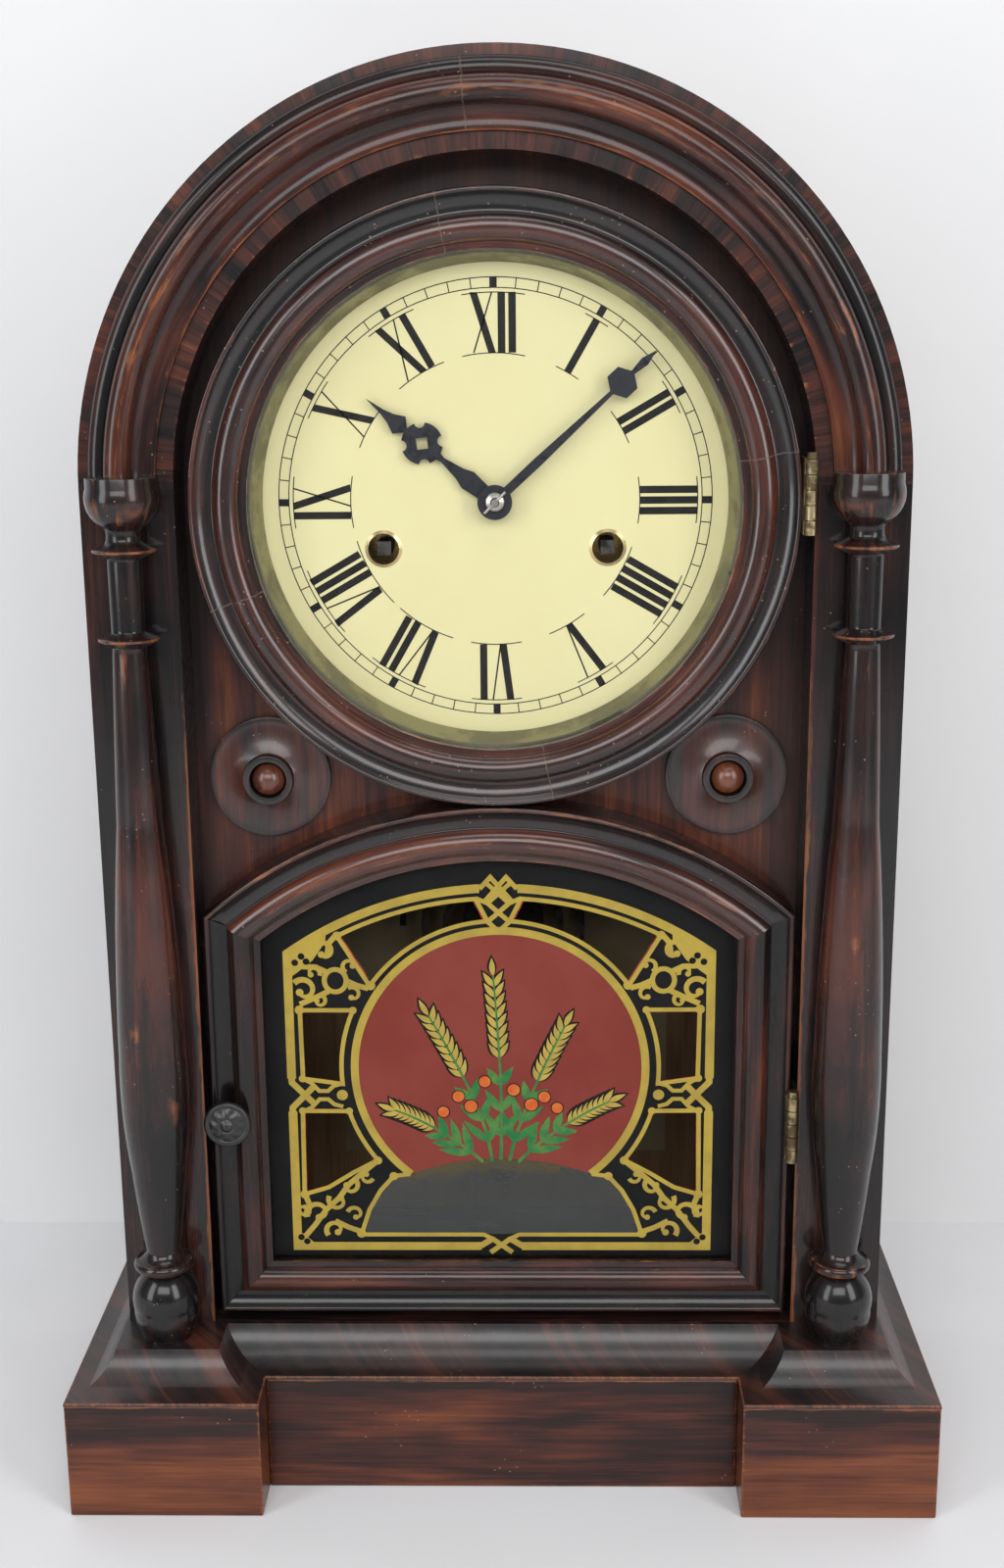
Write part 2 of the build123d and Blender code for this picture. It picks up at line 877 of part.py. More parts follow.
def door_latch():
    """Brass blade on the inner end of the knob's shaft, upright when the door is free."""
    hub = rod(knob_x, knob_z, latch_width / 2, latch_y - latch_thickness / 2, latch_y + latch_thickness / 2)
    blade = block(
        knob_x - latch_width / 2, knob_x + latch_width / 2,
        latch_y - latch_thickness / 2, latch_y + latch_thickness / 2,
        knob_z, knob_z + latch_length - latch_width / 4,
    )
    return hub + blade


# Hinges

def hinge_mortise(z):
    """Recess in a door's edge for the moving leaf of its hinge."""
    leaf_x = hinge_x - hinge_knuckle_radius
    return block(
        leaf_x, leaf_x + hinge_leaf_width, hinge_y, hinge_y + hinge_leaf_width + seat_gap,
        z - hinge_length / 2 - seat_gap, z + hinge_length / 2 + seat_gap,
    )


def case_leaf_mortise(z):
    """Recess for the fixed leaf, where the wall starts to curve in."""
    return block(
        recess_half_width - hinge_leaf_thickness, recess_half_width,
        hinge_y, hinge_y + hinge_leaf_width + seat_gap,
        z - hinge_length / 2 - seat_gap, z + hinge_length / 2 + seat_gap,
    )


def hinge_leaf(z, side, first):
    """One leaf with every other knuckle: side 1 lies on the case, -1 on the door."""
    pitch = hinge_length / hinge_knuckles
    outer_x = hinge_x + side * hinge_knuckle_radius
    inner_x = outer_x - side * hinge_leaf_thickness
    left = min(outer_x, inner_x)
    right = max(outer_x, inner_x)
    clear_y = hinge_y + hinge_knuckle_radius + hinge_knuckle_gap
    low = z - hinge_length / 2
    leaf = block(left, right, clear_y, hinge_y + hinge_leaf_width, low, low + hinge_length)
    for index in range(first, hinge_knuckles, 2):
        start = low + index * pitch + hinge_knuckle_gap / 2
        tall = pitch - hinge_knuckle_gap
        barrel = Pos(hinge_x, hinge_y, start + tall / 2) * Cylinder(hinge_knuckle_radius, tall)
        web = block(left, right, hinge_y, clear_y, start, start + tall)
        leaf = leaf + barrel + web
    bore = Pos(hinge_x, hinge_y, z) * Cylinder(hinge_pin_radius + hinge_pin_clearance, 2 * hinge_length)
    return leaf - bore


def hinge_pin(z):
    """Pin with the round head that stands above the knuckles."""
    low = z - hinge_length / 2
    shank = Pos(hinge_x, hinge_y, z) * Cylinder(hinge_pin_radius, hinge_length)
    top = low + hinge_length
    head = Pos(hinge_x, hinge_y, top + hinge_pin_head_height / 2) * Cylinder(
        hinge_pin_head_radius, hinge_pin_head_height
    )
    return shank + head


# Dial and hands

def dial():
    """Painted zinc pan with a turned-back rim and three holes."""
    section = outline(
        (0, dial_front_y),
        (dial_radius, dial_front_y),
        (dial_radius, panel_y),
        (dial_radius - dial_rim_width, panel_y),
        (dial_radius - dial_rim_width, dial_back_y),
        (0, dial_back_y),
    )
    pan = turned(section, dial_x, dial_z)
    pan -= rod(dial_x, dial_z, dial_centre_hole_radius, dial_front_y - overrun, dial_back_y + overrun)
    for side in (-1, 1):
        pan -= rod(
            side * winding_x, winding_z, grommet_neck_radius, dial_front_y - overrun, dial_back_y + overrun
        )
    return pan


def winding_grommet(side):
    """Brass eyelet in a winding hole."""
    section = outline(
        (grommet_bore_radius, dial_front_y - grommet_flange_height),
        (grommet_radius, dial_front_y),
        (grommet_neck_radius, dial_front_y),
        (grommet_neck_radius, dial_front_y + grommet_depth),
        (grommet_bore_radius, dial_front_y + grommet_depth),
    )
    return turned(section, side * winding_x, winding_z)


def hand_on_dial(face, angle, y_front):
    """Flat hand turned from twelve o'clock to its angle and set over the dial."""
    shape = Pos(dial_x, dial_z) * Rot(0, 0, -angle) * face
    return plate(shape, y_front, y_front + hand_thickness)


def minute_hand():
    """Long tapered hand with a small cross and a diamond tip, and its raised hub."""
    cross = minute_cross_size
    at = minute_cross_radius
    tip = minute_hand_length
    neck = minute_neck_half_width
    half = [
        (neck * 2, 0),
        (minute_stem_half_width, at / 3),
        (neck, at - cross),
        (cross, at - cross / 2),
        (cross, at + cross / 2),
        (neck, at + cross),
        (neck * 2, (at + tip) / 2 + cross / 2),
        (0, tip),
    ]
    left = [(-u, v) for u, v in reversed(half[:-1])]
    stem = make_face(Polyline(*half, *left, close=True))
    face = stem + Circle(minute_hub_radius) - Circle(arbor_radius + seat_gap)
    front = dial_front_y - minute_hand_gap - hand_thickness
    hand = hand_on_dial(face, minute_hand_angle, front)
    collar = turned(
        outline(
            (minute_hub_bore_radius, front),
            (minute_hub_radius, front),
            (minute_hub_radius, front - hand_thickness),
            (minute_hub_bore_radius, front - hand_thickness),
        ),
        dial_x,
        dial_z,
    )
    return hand + collar


def hour_cross():
    """Open cross of the hour hand: a disc with four round notches and a square hole."""
    face = Circle(hour_cross_size)
    for turn in range(4):
        u, v = polar(hour_cross_size, 90 * turn)
        face -= Pos(u, v) * Circle(hour_cross_notch_radius)
    return face - Rectangle(hour_cross_hole, hour_cross_hole)


def hour_hand():
    """Short hand with a shouldered stem, an open cross and a barbed leaf."""
    neck = hour_neck_half_width
    shoulder_at = hour_shoulder_radius
    cross_foot = hour_cross_radius - hour_cross_size
    cross_head = hour_cross_radius + hour_cross_size
    leaf = hour_leaf_radius
    lower_half = [
        (hour_stem_half_width, 0),
        (hour_shoulder_half_width, shoulder_at),
        (hour_stem_half_width, shoulder_at + hour_shoulder_half_width),
        (neck, cross_foot - hour_cross_notch_radius),
        (neck * 2, cross_foot + hour_cross_notch_radius),
    ]
    upper_half = [
        (neck * 2, cross_head - hour_cross_notch_radius),
        (neck, cross_head),
        (hour_leaf_half_width, leaf - hour_leaf_half_width),
        (hour_leaf_half_width / 2, leaf),
        (neck, leaf + hour_leaf_half_width),
        (0, hour_hand_length),
    ]
    lower = make_face(Polyline(*lower_half, *[(-u, v) for u, v in reversed(lower_half)], close=True))
    upper_left = [(-u, v) for u, v in reversed(upper_half[:-1])]
    upper = make_face(Polyline(*upper_half, *upper_left, close=True))
    cross = Pos(0, hour_cross_radius) * Rot(0, 0, 45) * hour_cross()
    face = lower + upper + cross + Circle(hour_hub_radius) - Circle(hour_pipe_radius())
    return hand_on_dial(face, hour_hand_angle, dial_front_y - hour_hand_gap - hand_thickness)


def hour_pipe_radius():
    """Outside of the pipe that carries the hour hand, inside the dial's centre hole."""
    return dial_centre_hole_radius - 3 * seat_gap


def hand_washer():
    """Dished brass washer over the minute hand."""
    front = dial_front_y - minute_hand_gap - hand_thickness
    section = outline(
        (arbor_radius + seat_gap, front),
        (minute_hub_bore_radius - seat_gap, front),
        (arbor_radius + seat_gap, front - hand_washer_height),
    )
    return turned(section, dial_x, dial_z)


def hand_pin():
    """Taper pin through the centre arbor, in front of the washer."""
    place = Pos(dial_x, hand_pin_y(), dial_z) * Rot(0, hand_pin_angle, 0)
    return place * Cylinder(hand_pin_radius, hand_pin_length)


def hand_pin_y():
    """Line of the taper pin, just clear of the washer and the hub."""
    front = dial_front_y - minute_hand_gap - hand_thickness
    return front - hand_washer_height - hand_pin_radius


# Movement

def plate_outline():
    """Outline of both movement plates in X and Z."""
    corners = [
        (0, plate_toe_z),
        (plate_foot_x, plate_foot_z),
        (plate_shoulder_x, plate_shoulder_z),
        (plate_head_x, plate_head_z),
    ]
    left = [(-x, z) for x, z in reversed(corners[1:])]
    return make_face(Polyline(*corners, *left, close=True))


def spring_pillar():
    """Axis of the right foot pillar, beside the tail of the mainspring."""
    beside = spring_radius(2 * spring_turns) + spring_strip / 2 + seat_gap + pillar_body_radius
    out_x, out_z = polar(beside, spring_end_angle)
    along_x, along_z = polar(spring_tail, spring_end_angle + 90)
    return winding_x + out_x + along_x, winding_z + out_z + along_z


def pillar_places():
    """Axes of the six pillars: the lowest two stand at the ends of the mainsprings."""
    inset = plate_corner_radius
    foot_x, foot_z = spring_pillar()
    places = []
    for side in (-1, 1):
        places.append((side * foot_x, foot_z))
        places.append((side * (plate_shoulder_x - inset), plate_shoulder_z + inset / 2))
        places.append((side * (plate_head_x - inset), plate_head_z - inset))
    return places


def pivot_places():
    """Axes of the arbors that pivot in both plates, with the radius of each."""
    return [
        (winding_x, winding_z, great_arbor_radius),
        (-winding_x, winding_z, great_arbor_radius),
        (dial_x, dial_z, arbor_radius),
        (*third_place(), arbor_radius),
        (*escape_place(), arbor_radius),
        (0, verge_z, arbor_radius),
        (*pin_wheel_place(), arbor_radius),
        (*fly_place(), arbor_radius),
        (hammer_x, hammer_z, arbor_radius),
    ]


def bored(slab, y_from):
    """A movement plate with the holes for its pillars and pivots."""
    for x, z in pillar_places():
        slab -= rod(x, z, pillar_radius + pillar_clearance, y_from - overrun, y_from + overrun)
    for x, z, radius in pivot_places():
        slab -= rod(x, z, radius + pivot_clearance, y_from - overrun, y_from + overrun)
    return slab


def plate_ear(side, z):
    """Strap of the back plate that is screwed to a mounting rail."""
    reach = plate_ear_x + plate_ear_half_width
    root = plate_foot_x - plate_corner_radius
    half = plate_ear_half_width
    ends = sorted((side * root, side * reach))
    return block(ends[0], ends[1], back_plate_y, back_plate_back_y, z - half, z + half)


def front_plate():
    """Plate behind the dial, with the riveted stud of the minute wheel."""
    slab = plate(plate_outline(), front_plate_y, front_plate_back_y)
    return bored(slab, front_plate_y) + minute_wheel_stud()


def back_plate():
    """Plate with four straps for the mounting screws."""
    slab = plate(plate_outline(), back_plate_y, back_plate_back_y)
    for side in (-1, 1):
        for z in (plate_ear_low_z, plate_ear_high_z):
            slab += plate_ear(side, z)
            slab -= rod(
                side * plate_ear_x, z, screw_radius + pillar_clearance,
                back_plate_y - overrun, back_plate_y + overrun,
            )
    return bored(slab, back_plate_y)


def pillar(x, z):
    """Pillar with shouldered ends through the plates and a nut in front."""
    shank = rod(x, z, pillar_radius, front_plate_y, back_plate_back_y)
    body = rod(x, z, pillar_body_radius, front_plate_back_y, back_plate_y)
    nut = wheel(x, z, RegularPolygon(pillar_nut_radius, nut_sides), front_plate_y - pillar_nut_height,
                pillar_nut_height)
    return shank + body + nut


def mount_rail(side):
    """Wooden rail on the back board that the movement is screwed to."""
    x = side * plate_ear_x
    half = mount_rail_width / 2
    return block(
        x - half, x + half, back_plate_back_y, back_board_y,
        plate_ear_low_z - mount_rail_overhang, plate_ear_high_z + mount_rail_overhang,
    ) - sum_of_screw_bores(side)


def sum_of_screw_bores(side):
    """Both screw bores of one mounting rail."""
    bores = Part()
    for z in (plate_ear_low_z, plate_ear_high_z):
        bores += rod(
            side * plate_ear_x, z, screw_radius + pillar_clearance,
            back_plate_y, back_plate_back_y + screw_grip + seat_gap,
        )
    return bores


def movement_screw(side, z):
    """Round-headed screw through a strap into its rail."""
    x = side * plate_ear_x
    head = rod(x, z, screw_head_radius, back_plate_y - screw_head_height, back_plate_y)
    return head + rod(x, z, screw_radius, back_plate_y - screw_head_height, back_plate_back_y + screw_grip)


def third_place():
    """Axis of the third wheel, one mesh away from the centre wheel."""
    distance = (centre_teeth + third_pinion_leaves) / 2 * centre_module
    x, z = polar(distance, third_bearing)
    return dial_x + x, dial_z + z


def escape_place():
    """Axis of the escape wheel, above the centre and one mesh from the third wheel."""
    distance = (third_teeth + escape_pinion_leaves) / 2 * third_module
    x, z = third_place()
    return dial_x, z + math.sqrt(distance ** 2 - (x - dial_x) ** 2)


def pin_wheel_place():
    """Axis of the strike pin wheel, one mesh from the strike great wheel."""
    distance = (strike_great_teeth + pin_wheel_pinion_leaves) / 2 * great_module
    x, z = polar(distance, pin_wheel_bearing)
    return -winding_x + x, winding_z + z


def fly_place():
    """Axis of the fly, one mesh from the pin wheel."""
    distance = (pin_wheel_teeth + fly_pinion_leaves) / 2 * pin_wheel_module
    x, z = polar(distance, fly_bearing)
    pin_x, pin_z = pin_wheel_place()
    return pin_x + x, pin_z + z


def toothed_face(teeth, module, phase):
    """Wheel with pointed teeth: one of them stands at the phase angle."""
    pitch_radius = teeth * module / 2
    tip = pitch_radius + tooth_height_share * module
    root = pitch_radius - tooth_root_share * module
    step = 360 / teeth
    points = []
    for index in range(teeth):
        middle = phase + index * step
        points.append(polar(root, middle - mesh_backlash_share * step))
        points.append(polar(tip, middle))
        points.append(polar(root, middle + mesh_backlash_share * step))
    return make_face(Polyline(*points, close=True))


def wheel(x, z, face, y_from, thickness):
    """Flat wheel from a face drawn about its own axis."""
    return plate(Pos(x, z) * face, y_from, y_from + thickness)


def bearing(from_place, to_place):
    """Angle of the line between two axes."""
    return math.degrees(math.atan2(to_place[1] - from_place[1], to_place[0] - from_place[0]))


def depth_y(depth):
    """Plane at a depth behind the front plate's inner face."""
    return front_plate_back_y + depth


def ratchet_module():
    """Module that gives the ratchet its pitch radius."""
    return 2 * ratchet_radius / ratchet_teeth


def click():
    """Riveted click about the wheel's own axis, its nose lifted just clear of the ratchet."""
    nose = ratchet_radius + tooth_height_share * ratchet_module() + seat_gap
    pivot = polar(nose + click_reach, click_bearing)
    tip = polar(nose, click_bearing + click_lean)
    across = polar(click_pivot_radius, click_bearing + 90)
    arm = make_face(Polyline(
        (pivot[0] + across[0], pivot[1] + across[1]),
        tip,
        (pivot[0] - across[0] / 2, pivot[1] - across[1] / 2),
        close=True,
    ))
    return arm + Pos(*pivot) * Circle(click_pivot_radius)


def great_wheel(side, teeth):
    """Great wheel with its click, loose on the winding arbor."""
    place = (side * winding_x, winding_z)
    start = depth_y(great_wheel_depth)
    if side > 0:
        mesh = bearing(place, (dial_x, dial_z))
    else:
        mesh = bearing(place, pin_wheel_place())
    face = toothed_face(teeth, great_module, mesh)
    disc = wheel(*place, face, start, great_wheel_thickness)
    disc += wheel(*place, click(), depth_y(ratchet_depth), great_wheel_depth - ratchet_depth)
    return disc - rod(*place, great_arbor_radius + pivot_clearance, start - overrun, start + overrun)


def winding_arbor(side):
    """Arbor with the winding square, the ratchet and the pivots."""
    place = (side * winding_x, winding_z)
    rear = back_plate_back_y + seat_gap
    shank = rod(*place, great_arbor_radius, front_plate_y - seat_gap, rear)
    ratchet = toothed_face(ratchet_teeth, ratchet_module(), 0)
    start = depth_y(ratchet_depth)
    square = Rectangle(winding_square, winding_square)
    key = wheel(*place, square, winding_end_y, front_plate_y - winding_end_y)
    return shank + key + wheel(*place, ratchet, start, ratchet_thickness)


def spiral_face(inner_radius, pitch, turns, width):
    """Flat spiral strip of half turns, each half a pitch wider than the last."""
    strip = Sketch()
    radius = inner_radius
    centre = 0.0
    for half_turn in range(2 * turns):
        side = 1 if half_turn % 2 == 0 else -1
        ring = Circle(radius + width / 2) - Circle(radius - width / 2)
        reach = radius + width
        half = ring & (Pos(0, side * reach / 2) * Rectangle(2 * reach, reach))
        strip += Pos(centre, 0) * half
        radius += pitch / 2
        centre += side * pitch / 2
    return strip


def least_spiral_gap(inner_radius, pitch, turns, width):
    """Least gap between neighbouring turns of a spiral, measured on points round it."""
    half_turns = []
    centre = 0.0
    for half_turn in range(2 * turns):
        side = 1 if half_turn % 2 == 0 else -1
        radius = inner_radius + half_turn * pitch / 2
        arc = [polar(radius, side * angle) for angle in range(0, 181, 15)]
        half_turns.append([(centre + u, v) for u, v in arc])
        centre += side * pitch / 2
    gaps = []
    for first, later in zip(half_turns, half_turns[2:]):
        gaps += [math.dist(point, other) - width for point in first for other in later]
    return min(gaps)


def spring_radius(half_turns):
    """Radius of a mainspring after a number of half turns from its arbor."""
    return great_arbor_radius + seat_gap + spring_strip / 2 + half_turns * spring_pitch / 2


def mainspring():
    """Right open mainspring: its turns from the arbor out, and the tail to the foot pillar."""
    turns = spiral_face(spring_radius(0), spring_pitch, spring_turns, spring_strip)
    tail = Pos(spring_radius(2 * spring_turns), spring_tail / 2) * Rectangle(spring_strip, spring_tail)
    strip = Rot(0, 0, spring_end_angle) * (turns + tail)
    return wheel(winding_x, winding_z, strip, depth_y(seat_gap), spring_width)


def centre_arbor():
    """Arbor of the minute hand, with the minute pinion in front of the movement."""
    place = (dial_x, dial_z)
    tip = hand_pin_y() - 2 * hand_pin_radius
    arbor = rod(*place, arbor_radius, tip, back_plate_back_y + seat_gap)
    start = front_plate_y - minute_wheel_gap - wheel_thickness
    phase = bearing(place, minute_wheel_place()) + 180 / minute_pinion_teeth
    pinion = wheel(*place, toothed_face(minute_pinion_teeth, motion_module(), phase), start, wheel_thickness)
    return arbor + pinion - hand_pin()


def centre_wheel():
    """Centre wheel and its pinion on a sleeve that grips the centre arbor by friction."""
    place = (dial_x, dial_z)
    start = depth_y(centre_wheel_depth)
    mesh = bearing(place, third_place())
    disc = wheel(*place, toothed_face(centre_teeth, centre_module, mesh), start, wheel_thickness)
    end = depth_y(great_wheel_depth) + great_wheel_thickness + pinion_margin
    phase = bearing(place, (winding_x, winding_z)) + 180 / centre_pinion_leaves
    pinion = wheel(*place, toothed_face(centre_pinion_leaves, great_module, phase), start, end - start)
    sleeve = rod(*place, sleeve_radius, start - pinion_margin, back_plate_y - seat_gap)
    bore = rod(*place, arbor_radius + pivot_clearance, start - overrun, back_plate_y + overrun)
    return disc + pinion + sleeve - bore


def motion_module():
    """Module of the minute wheel and its pinion, from their distance."""
    return 2 * motion_distance / (minute_pinion_teeth + minute_wheel_teeth)


def hour_module():
    """Module of the hour wheel and its pinion, at the same distance."""
    return 2 * motion_distance / (minute_pinion_leaves + hour_wheel_teeth)


def minute_wheel_place():
    """Axis of the minute wheel's stud in front of the movement."""
    x, z = polar(motion_distance, minute_wheel_bearing)
    return dial_x + x, dial_z + z


def minute_wheel():
    """Minute wheel with the pinion that drives the hour wheel, bored for its stud."""
    place = minute_wheel_place()
    start = front_plate_y - minute_wheel_gap - wheel_thickness
    mesh = bearing(place, (dial_x, dial_z))
    disc = wheel(*place, toothed_face(minute_wheel_teeth, motion_module(), mesh), start, wheel_thickness)
    end = start - motion_wheel_gap - wheel_thickness
    leaves = toothed_face(minute_pinion_leaves, hour_module(), mesh + 180 / minute_pinion_leaves)
    pinion = wheel(*place, leaves, end, start - end)
    bore = rod(*place, stud_radius + pivot_clearance, end - overrun, start + overrun)
    return disc + pinion - bore


def minute_wheel_stud():
    """Stud in the front plate, with a head that keeps the minute wheel on."""
    place = minute_wheel_place()
    end = front_plate_y - minute_wheel_gap - 2 * wheel_thickness - motion_wheel_gap - seat_gap
    collar = rod(*place, 2 * stud_radius, front_plate_y - minute_wheel_gap + seat_gap, front_plate_y)
    head = rod(*place, stud_radius + seat_gap, end - wheel_thickness, end)
    return rod(*place, stud_radius, end, front_plate_y) + collar + head


def hour_wheel():
    """Hour wheel on the pipe that carries the hour hand through the dial."""
    place = (dial_x, dial_z)
    start = front_plate_y - minute_wheel_gap - 2 * wheel_thickness - motion_wheel_gap
    mesh = bearing(place, minute_wheel_place())
    disc = wheel(*place, toothed_face(hour_wheel_teeth, hour_module(), mesh), start, wheel_thickness)
    pipe_end = dial_front_y - hour_hand_gap - hand_thickness
    pipe = rod(*place, hour_pipe_radius(), pipe_end, start)
    bore = rod(*place, arbor_radius + seat_gap, pipe_end - overrun, start + overrun)
    return disc + pipe - bore


def third_wheel():
    """Third wheel on its arbor with the pinion that the centre wheel drives."""
    place = third_place()
    arbor = rod(*place, arbor_radius, front_plate_y, back_plate_back_y)
    mesh = bearing(place, escape_place())
    disc = wheel(*place, toothed_face(third_teeth, third_module, mesh), depth_y(third_wheel_depth),
                 wheel_thickness)
    start = depth_y(centre_wheel_depth) - pinion_margin
    phase = bearing(place, (dial_x, dial_z)) + 180 / third_pinion_leaves
    pinion = wheel(*place, toothed_face(third_pinion_leaves, centre_module, phase), start,
                   wheel_thickness + 2 * pinion_margin)
    return arbor + disc + pinion


def escape_wheel():
    """Escape wheel with raked teeth, on its arbor with a pinion."""
    place = escape_place()
    points = []
    step = 360 / escape_teeth
    for index in range(escape_teeth):
        points.append(polar(escape_radius, 90 + index * step))
        points.append(polar(escape_radius - escape_tooth_depth, 90 + (index + 0.5) * step))
    disc = wheel(*place, make_face(Polyline(*points, close=True)), depth_y(escape_wheel_depth),
                 wheel_thickness)
    arbor = rod(*place, arbor_radius, front_plate_y, back_plate_back_y)
    start = depth_y(third_wheel_depth) - pinion_margin
    phase = bearing(place, third_place()) + 180 / escape_pinion_leaves
    pinion = wheel(*place, toothed_face(escape_pinion_leaves, third_module, phase), start,
                   wheel_thickness + 2 * pinion_margin)
    return arbor + disc + pinion


def verge():
    """Anchor over the escape wheel, its arbor and the crutch behind the back plate."""
    place = (0, verge_z)
    start = depth_y(escape_wheel_depth)
    half = verge_arm_width / 2
    arm = [
        (0, verge_hub_radius),
        (verge_tip_x, -verge_tip_drop + verge_arm_width),
        (verge_tip_x, -verge_tip_drop),
        (verge_tip_x - half, -verge_tip_drop),
        (0, -verge_hub_radius + half),
    ]
    left = [(-u, v) for u, v in reversed(arm[1:-1])]
    anchor = make_face(Polyline(*arm, *left, close=True)) + Circle(verge_hub_radius)
    arbor = rod(*place, arbor_radius, front_plate_y, cock_y() + cock_thickness)
    crutch_y = back_plate_back_y + crutch_standoff
    strip = Pos(0, -crutch_length / 2) * Rectangle(crutch_width, crutch_length)
    crutch = wheel(*place, strip + Circle(verge_hub_radius), crutch_y, crutch_thickness)
    tine_in = pendulum_rod_radius + crutch_fork_gap
    fork_z = verge_z - crutch_length
    bridge = block(
        -tine_in - crutch_thickness, tine_in + crutch_thickness, crutch_y, crutch_y + crutch_thickness,
        fork_z - crutch_width, fork_z + crutch_width,
    )
    fork = bridge
    for side in (-1, 1):
        edges = sorted((side * tine_in, side * (tine_in + crutch_thickness)))
        fork += block(
            edges[0], edges[1], crutch_y, pendulum_y + crutch_fork_reach,
            fork_z - crutch_width, fork_z + crutch_width,
        )
    return arbor + wheel(*place, anchor, start, wheel_thickness) + crutch + fork


def cock_y():
    """Front face of the cock behind the back plate."""
    return back_plate_back_y + cock_standoff - cock_thickness


def back_cock():
    """Bridge on the back plate that carries the verge's rear pivot and the suspension stud."""
    y_from = cock_y()
    y_to = y_from + cock_thickness
    low = verge_z - cock_half_height
    high = verge_z + suspension_stud_rise + 2 * suspension_stud_radius
    bridge = block(-cock_half_width, cock_half_width, y_from, y_to, low, verge_z + cock_half_height)
    riser = block(-cock_half_height, cock_half_height, y_from, y_to, low, high)
    stud_z = verge_z + suspension_stud_rise + suspension_stud_radius
    stud = rod(0, stud_z, suspension_stud_radius, y_to, pendulum_y + suspension_width)
    cock = bridge + riser + stud
    for side in (-1, 1):
        ends = sorted((side * cock_half_width, side * (cock_half_width - cock_leg_width)))
        cock += block(ends[0], ends[1], back_plate_back_y, y_from, low, verge_z + cock_half_height)
    return cock - rod(0, verge_z, arbor_radius + pivot_clearance, y_from - overrun, y_to + overrun)


def pendulum_rod():
    """Suspension spring and wire rod, threaded at its lower end for the nut."""
    top = verge_z + suspension_stud_rise - seat_gap
    spring_foot = verge_z - suspension_length
    strip = block(
        -suspension_thickness / 2, suspension_thickness / 2,
        pendulum_y - suspension_width / 2, pendulum_y + suspension_width / 2, spring_foot, top,
    )
    foot = bob_z() - bob_radius - pendulum_tail
    wire_top = spring_foot + suspension_width
    wire = Pos(0, pendulum_y, (wire_top + foot) / 2) * Cylinder(pendulum_rod_radius, wire_top - foot)
    return strip + wire


def bob_z():
    """Middle of the bob."""
    return base_top + bob_rise


def pendulum_bob():
    """Brass-faced lens bob, bored for the rod."""
    half = bob_thickness / 2
    section = outline(
        (0, pendulum_y - half),
        (bob_radius, pendulum_y - bob_edge / 2, -dome_rise(bob_radius, half - bob_edge / 2)),
        (bob_radius, pendulum_y + bob_edge / 2),
        (0, pendulum_y + half, -dome_rise(bob_radius, half - bob_edge / 2)),
    )
    lens = turned(section, 0, bob_z())
    bore = Pos(0, pendulum_y, bob_z()) * Cylinder(pendulum_rod_radius + bob_bore_clearance, 3 * bob_radius)
    return lens - bore


def rating_nut():
    """Round nut under the bob, which raises and lowers it."""
    top = bob_z() - bob_radius - seat_gap
    nut = Cylinder(rating_nut_radius, rating_nut_thickness)
    nut -= Cylinder(pendulum_rod_radius + bob_bore_clearance, 2 * rating_nut_thickness)
    return Pos(0, pendulum_y, top - rating_nut_thickness / 2) * nut


def strike_pin_wheel():
    """Strike pin wheel: thirteen pins for 78 blows in twelve hours."""
    place = pin_wheel_place()
    start = depth_y(centre_wheel_depth)
    mesh = bearing(place, fly_place())
    disc = wheel(*place, toothed_face(pin_wheel_teeth, pin_wheel_module, mesh), start, wheel_thickness)
    end = depth_y(great_wheel_depth) + great_wheel_thickness + pinion_margin
    phase = bearing(place, (-winding_x, winding_z)) + 180 / pin_wheel_pinion_leaves
    pinion = wheel(*place, toothed_face(pin_wheel_pinion_leaves, great_module, phase), start, end - start)
    body = disc + pinion + rod(*place, arbor_radius, front_plate_y, back_plate_back_y)
    for index in range(pin_count):
        u, v = polar(pin_circle_radius, 360 * index / pin_count)
        pin = RegularPolygon(pin_radius, pin_sides)
        body += wheel(place[0] + u, place[1] + v, pin, start - pin_length, pin_length)
    return body


def fly():
    """Fly that slows the strike: a brass vane on its arbor and pinion."""
    place = fly_place()
    arbor = rod(*place, arbor_radius, front_plate_y, back_plate_back_y)
    vane = wheel(*place, Rectangle(2 * fly_radius, fly_thickness), depth_y(fly_depth), fly_width)
    start = depth_y(centre_wheel_depth) - pinion_margin
    phase = bearing(place, pin_wheel_place()) + 180 / fly_pinion_leaves
    pinion = wheel(*place, toothed_face(fly_pinion_leaves, pin_wheel_module, phase), start,
                   wheel_thickness + 2 * pinion_margin)
    return arbor + vane + pinion


def gong_outer_reach():
    """Reach of the gong's wire to the left, at its outer end."""
    return gong_inner_radius + gong_turns * gong_pitch + gong_wire / 2


def strike_hammer():
    """Hammer arbor between the plates, its wire arm and the head beside the gong."""
    arbor = rod(hammer_x, hammer_z, arbor_radius, front_plate_y, gong_y)
    head_x = -gong_outer_reach() - hammer_gap - hammer_head_length / 2
    reach = math.dist((hammer_x, hammer_z), (head_x, hammer_head_z))
    lean = math.degrees(math.atan2(hammer_x - head_x, hammer_z - hammer_head_z))
    arm = Pos(hammer_x, gong_y, hammer_z) * Rot(0, lean, 0) * Pos(0, 0, -reach / 2) * Cylinder(
        hammer_arm_radius, reach
    )
    head = Pos(head_x, gong_y, hammer_head_z) * Rot(0, 90, 0) * Cylinder(
        hammer_head_radius, hammer_head_length
    )
    return arbor + arm + head


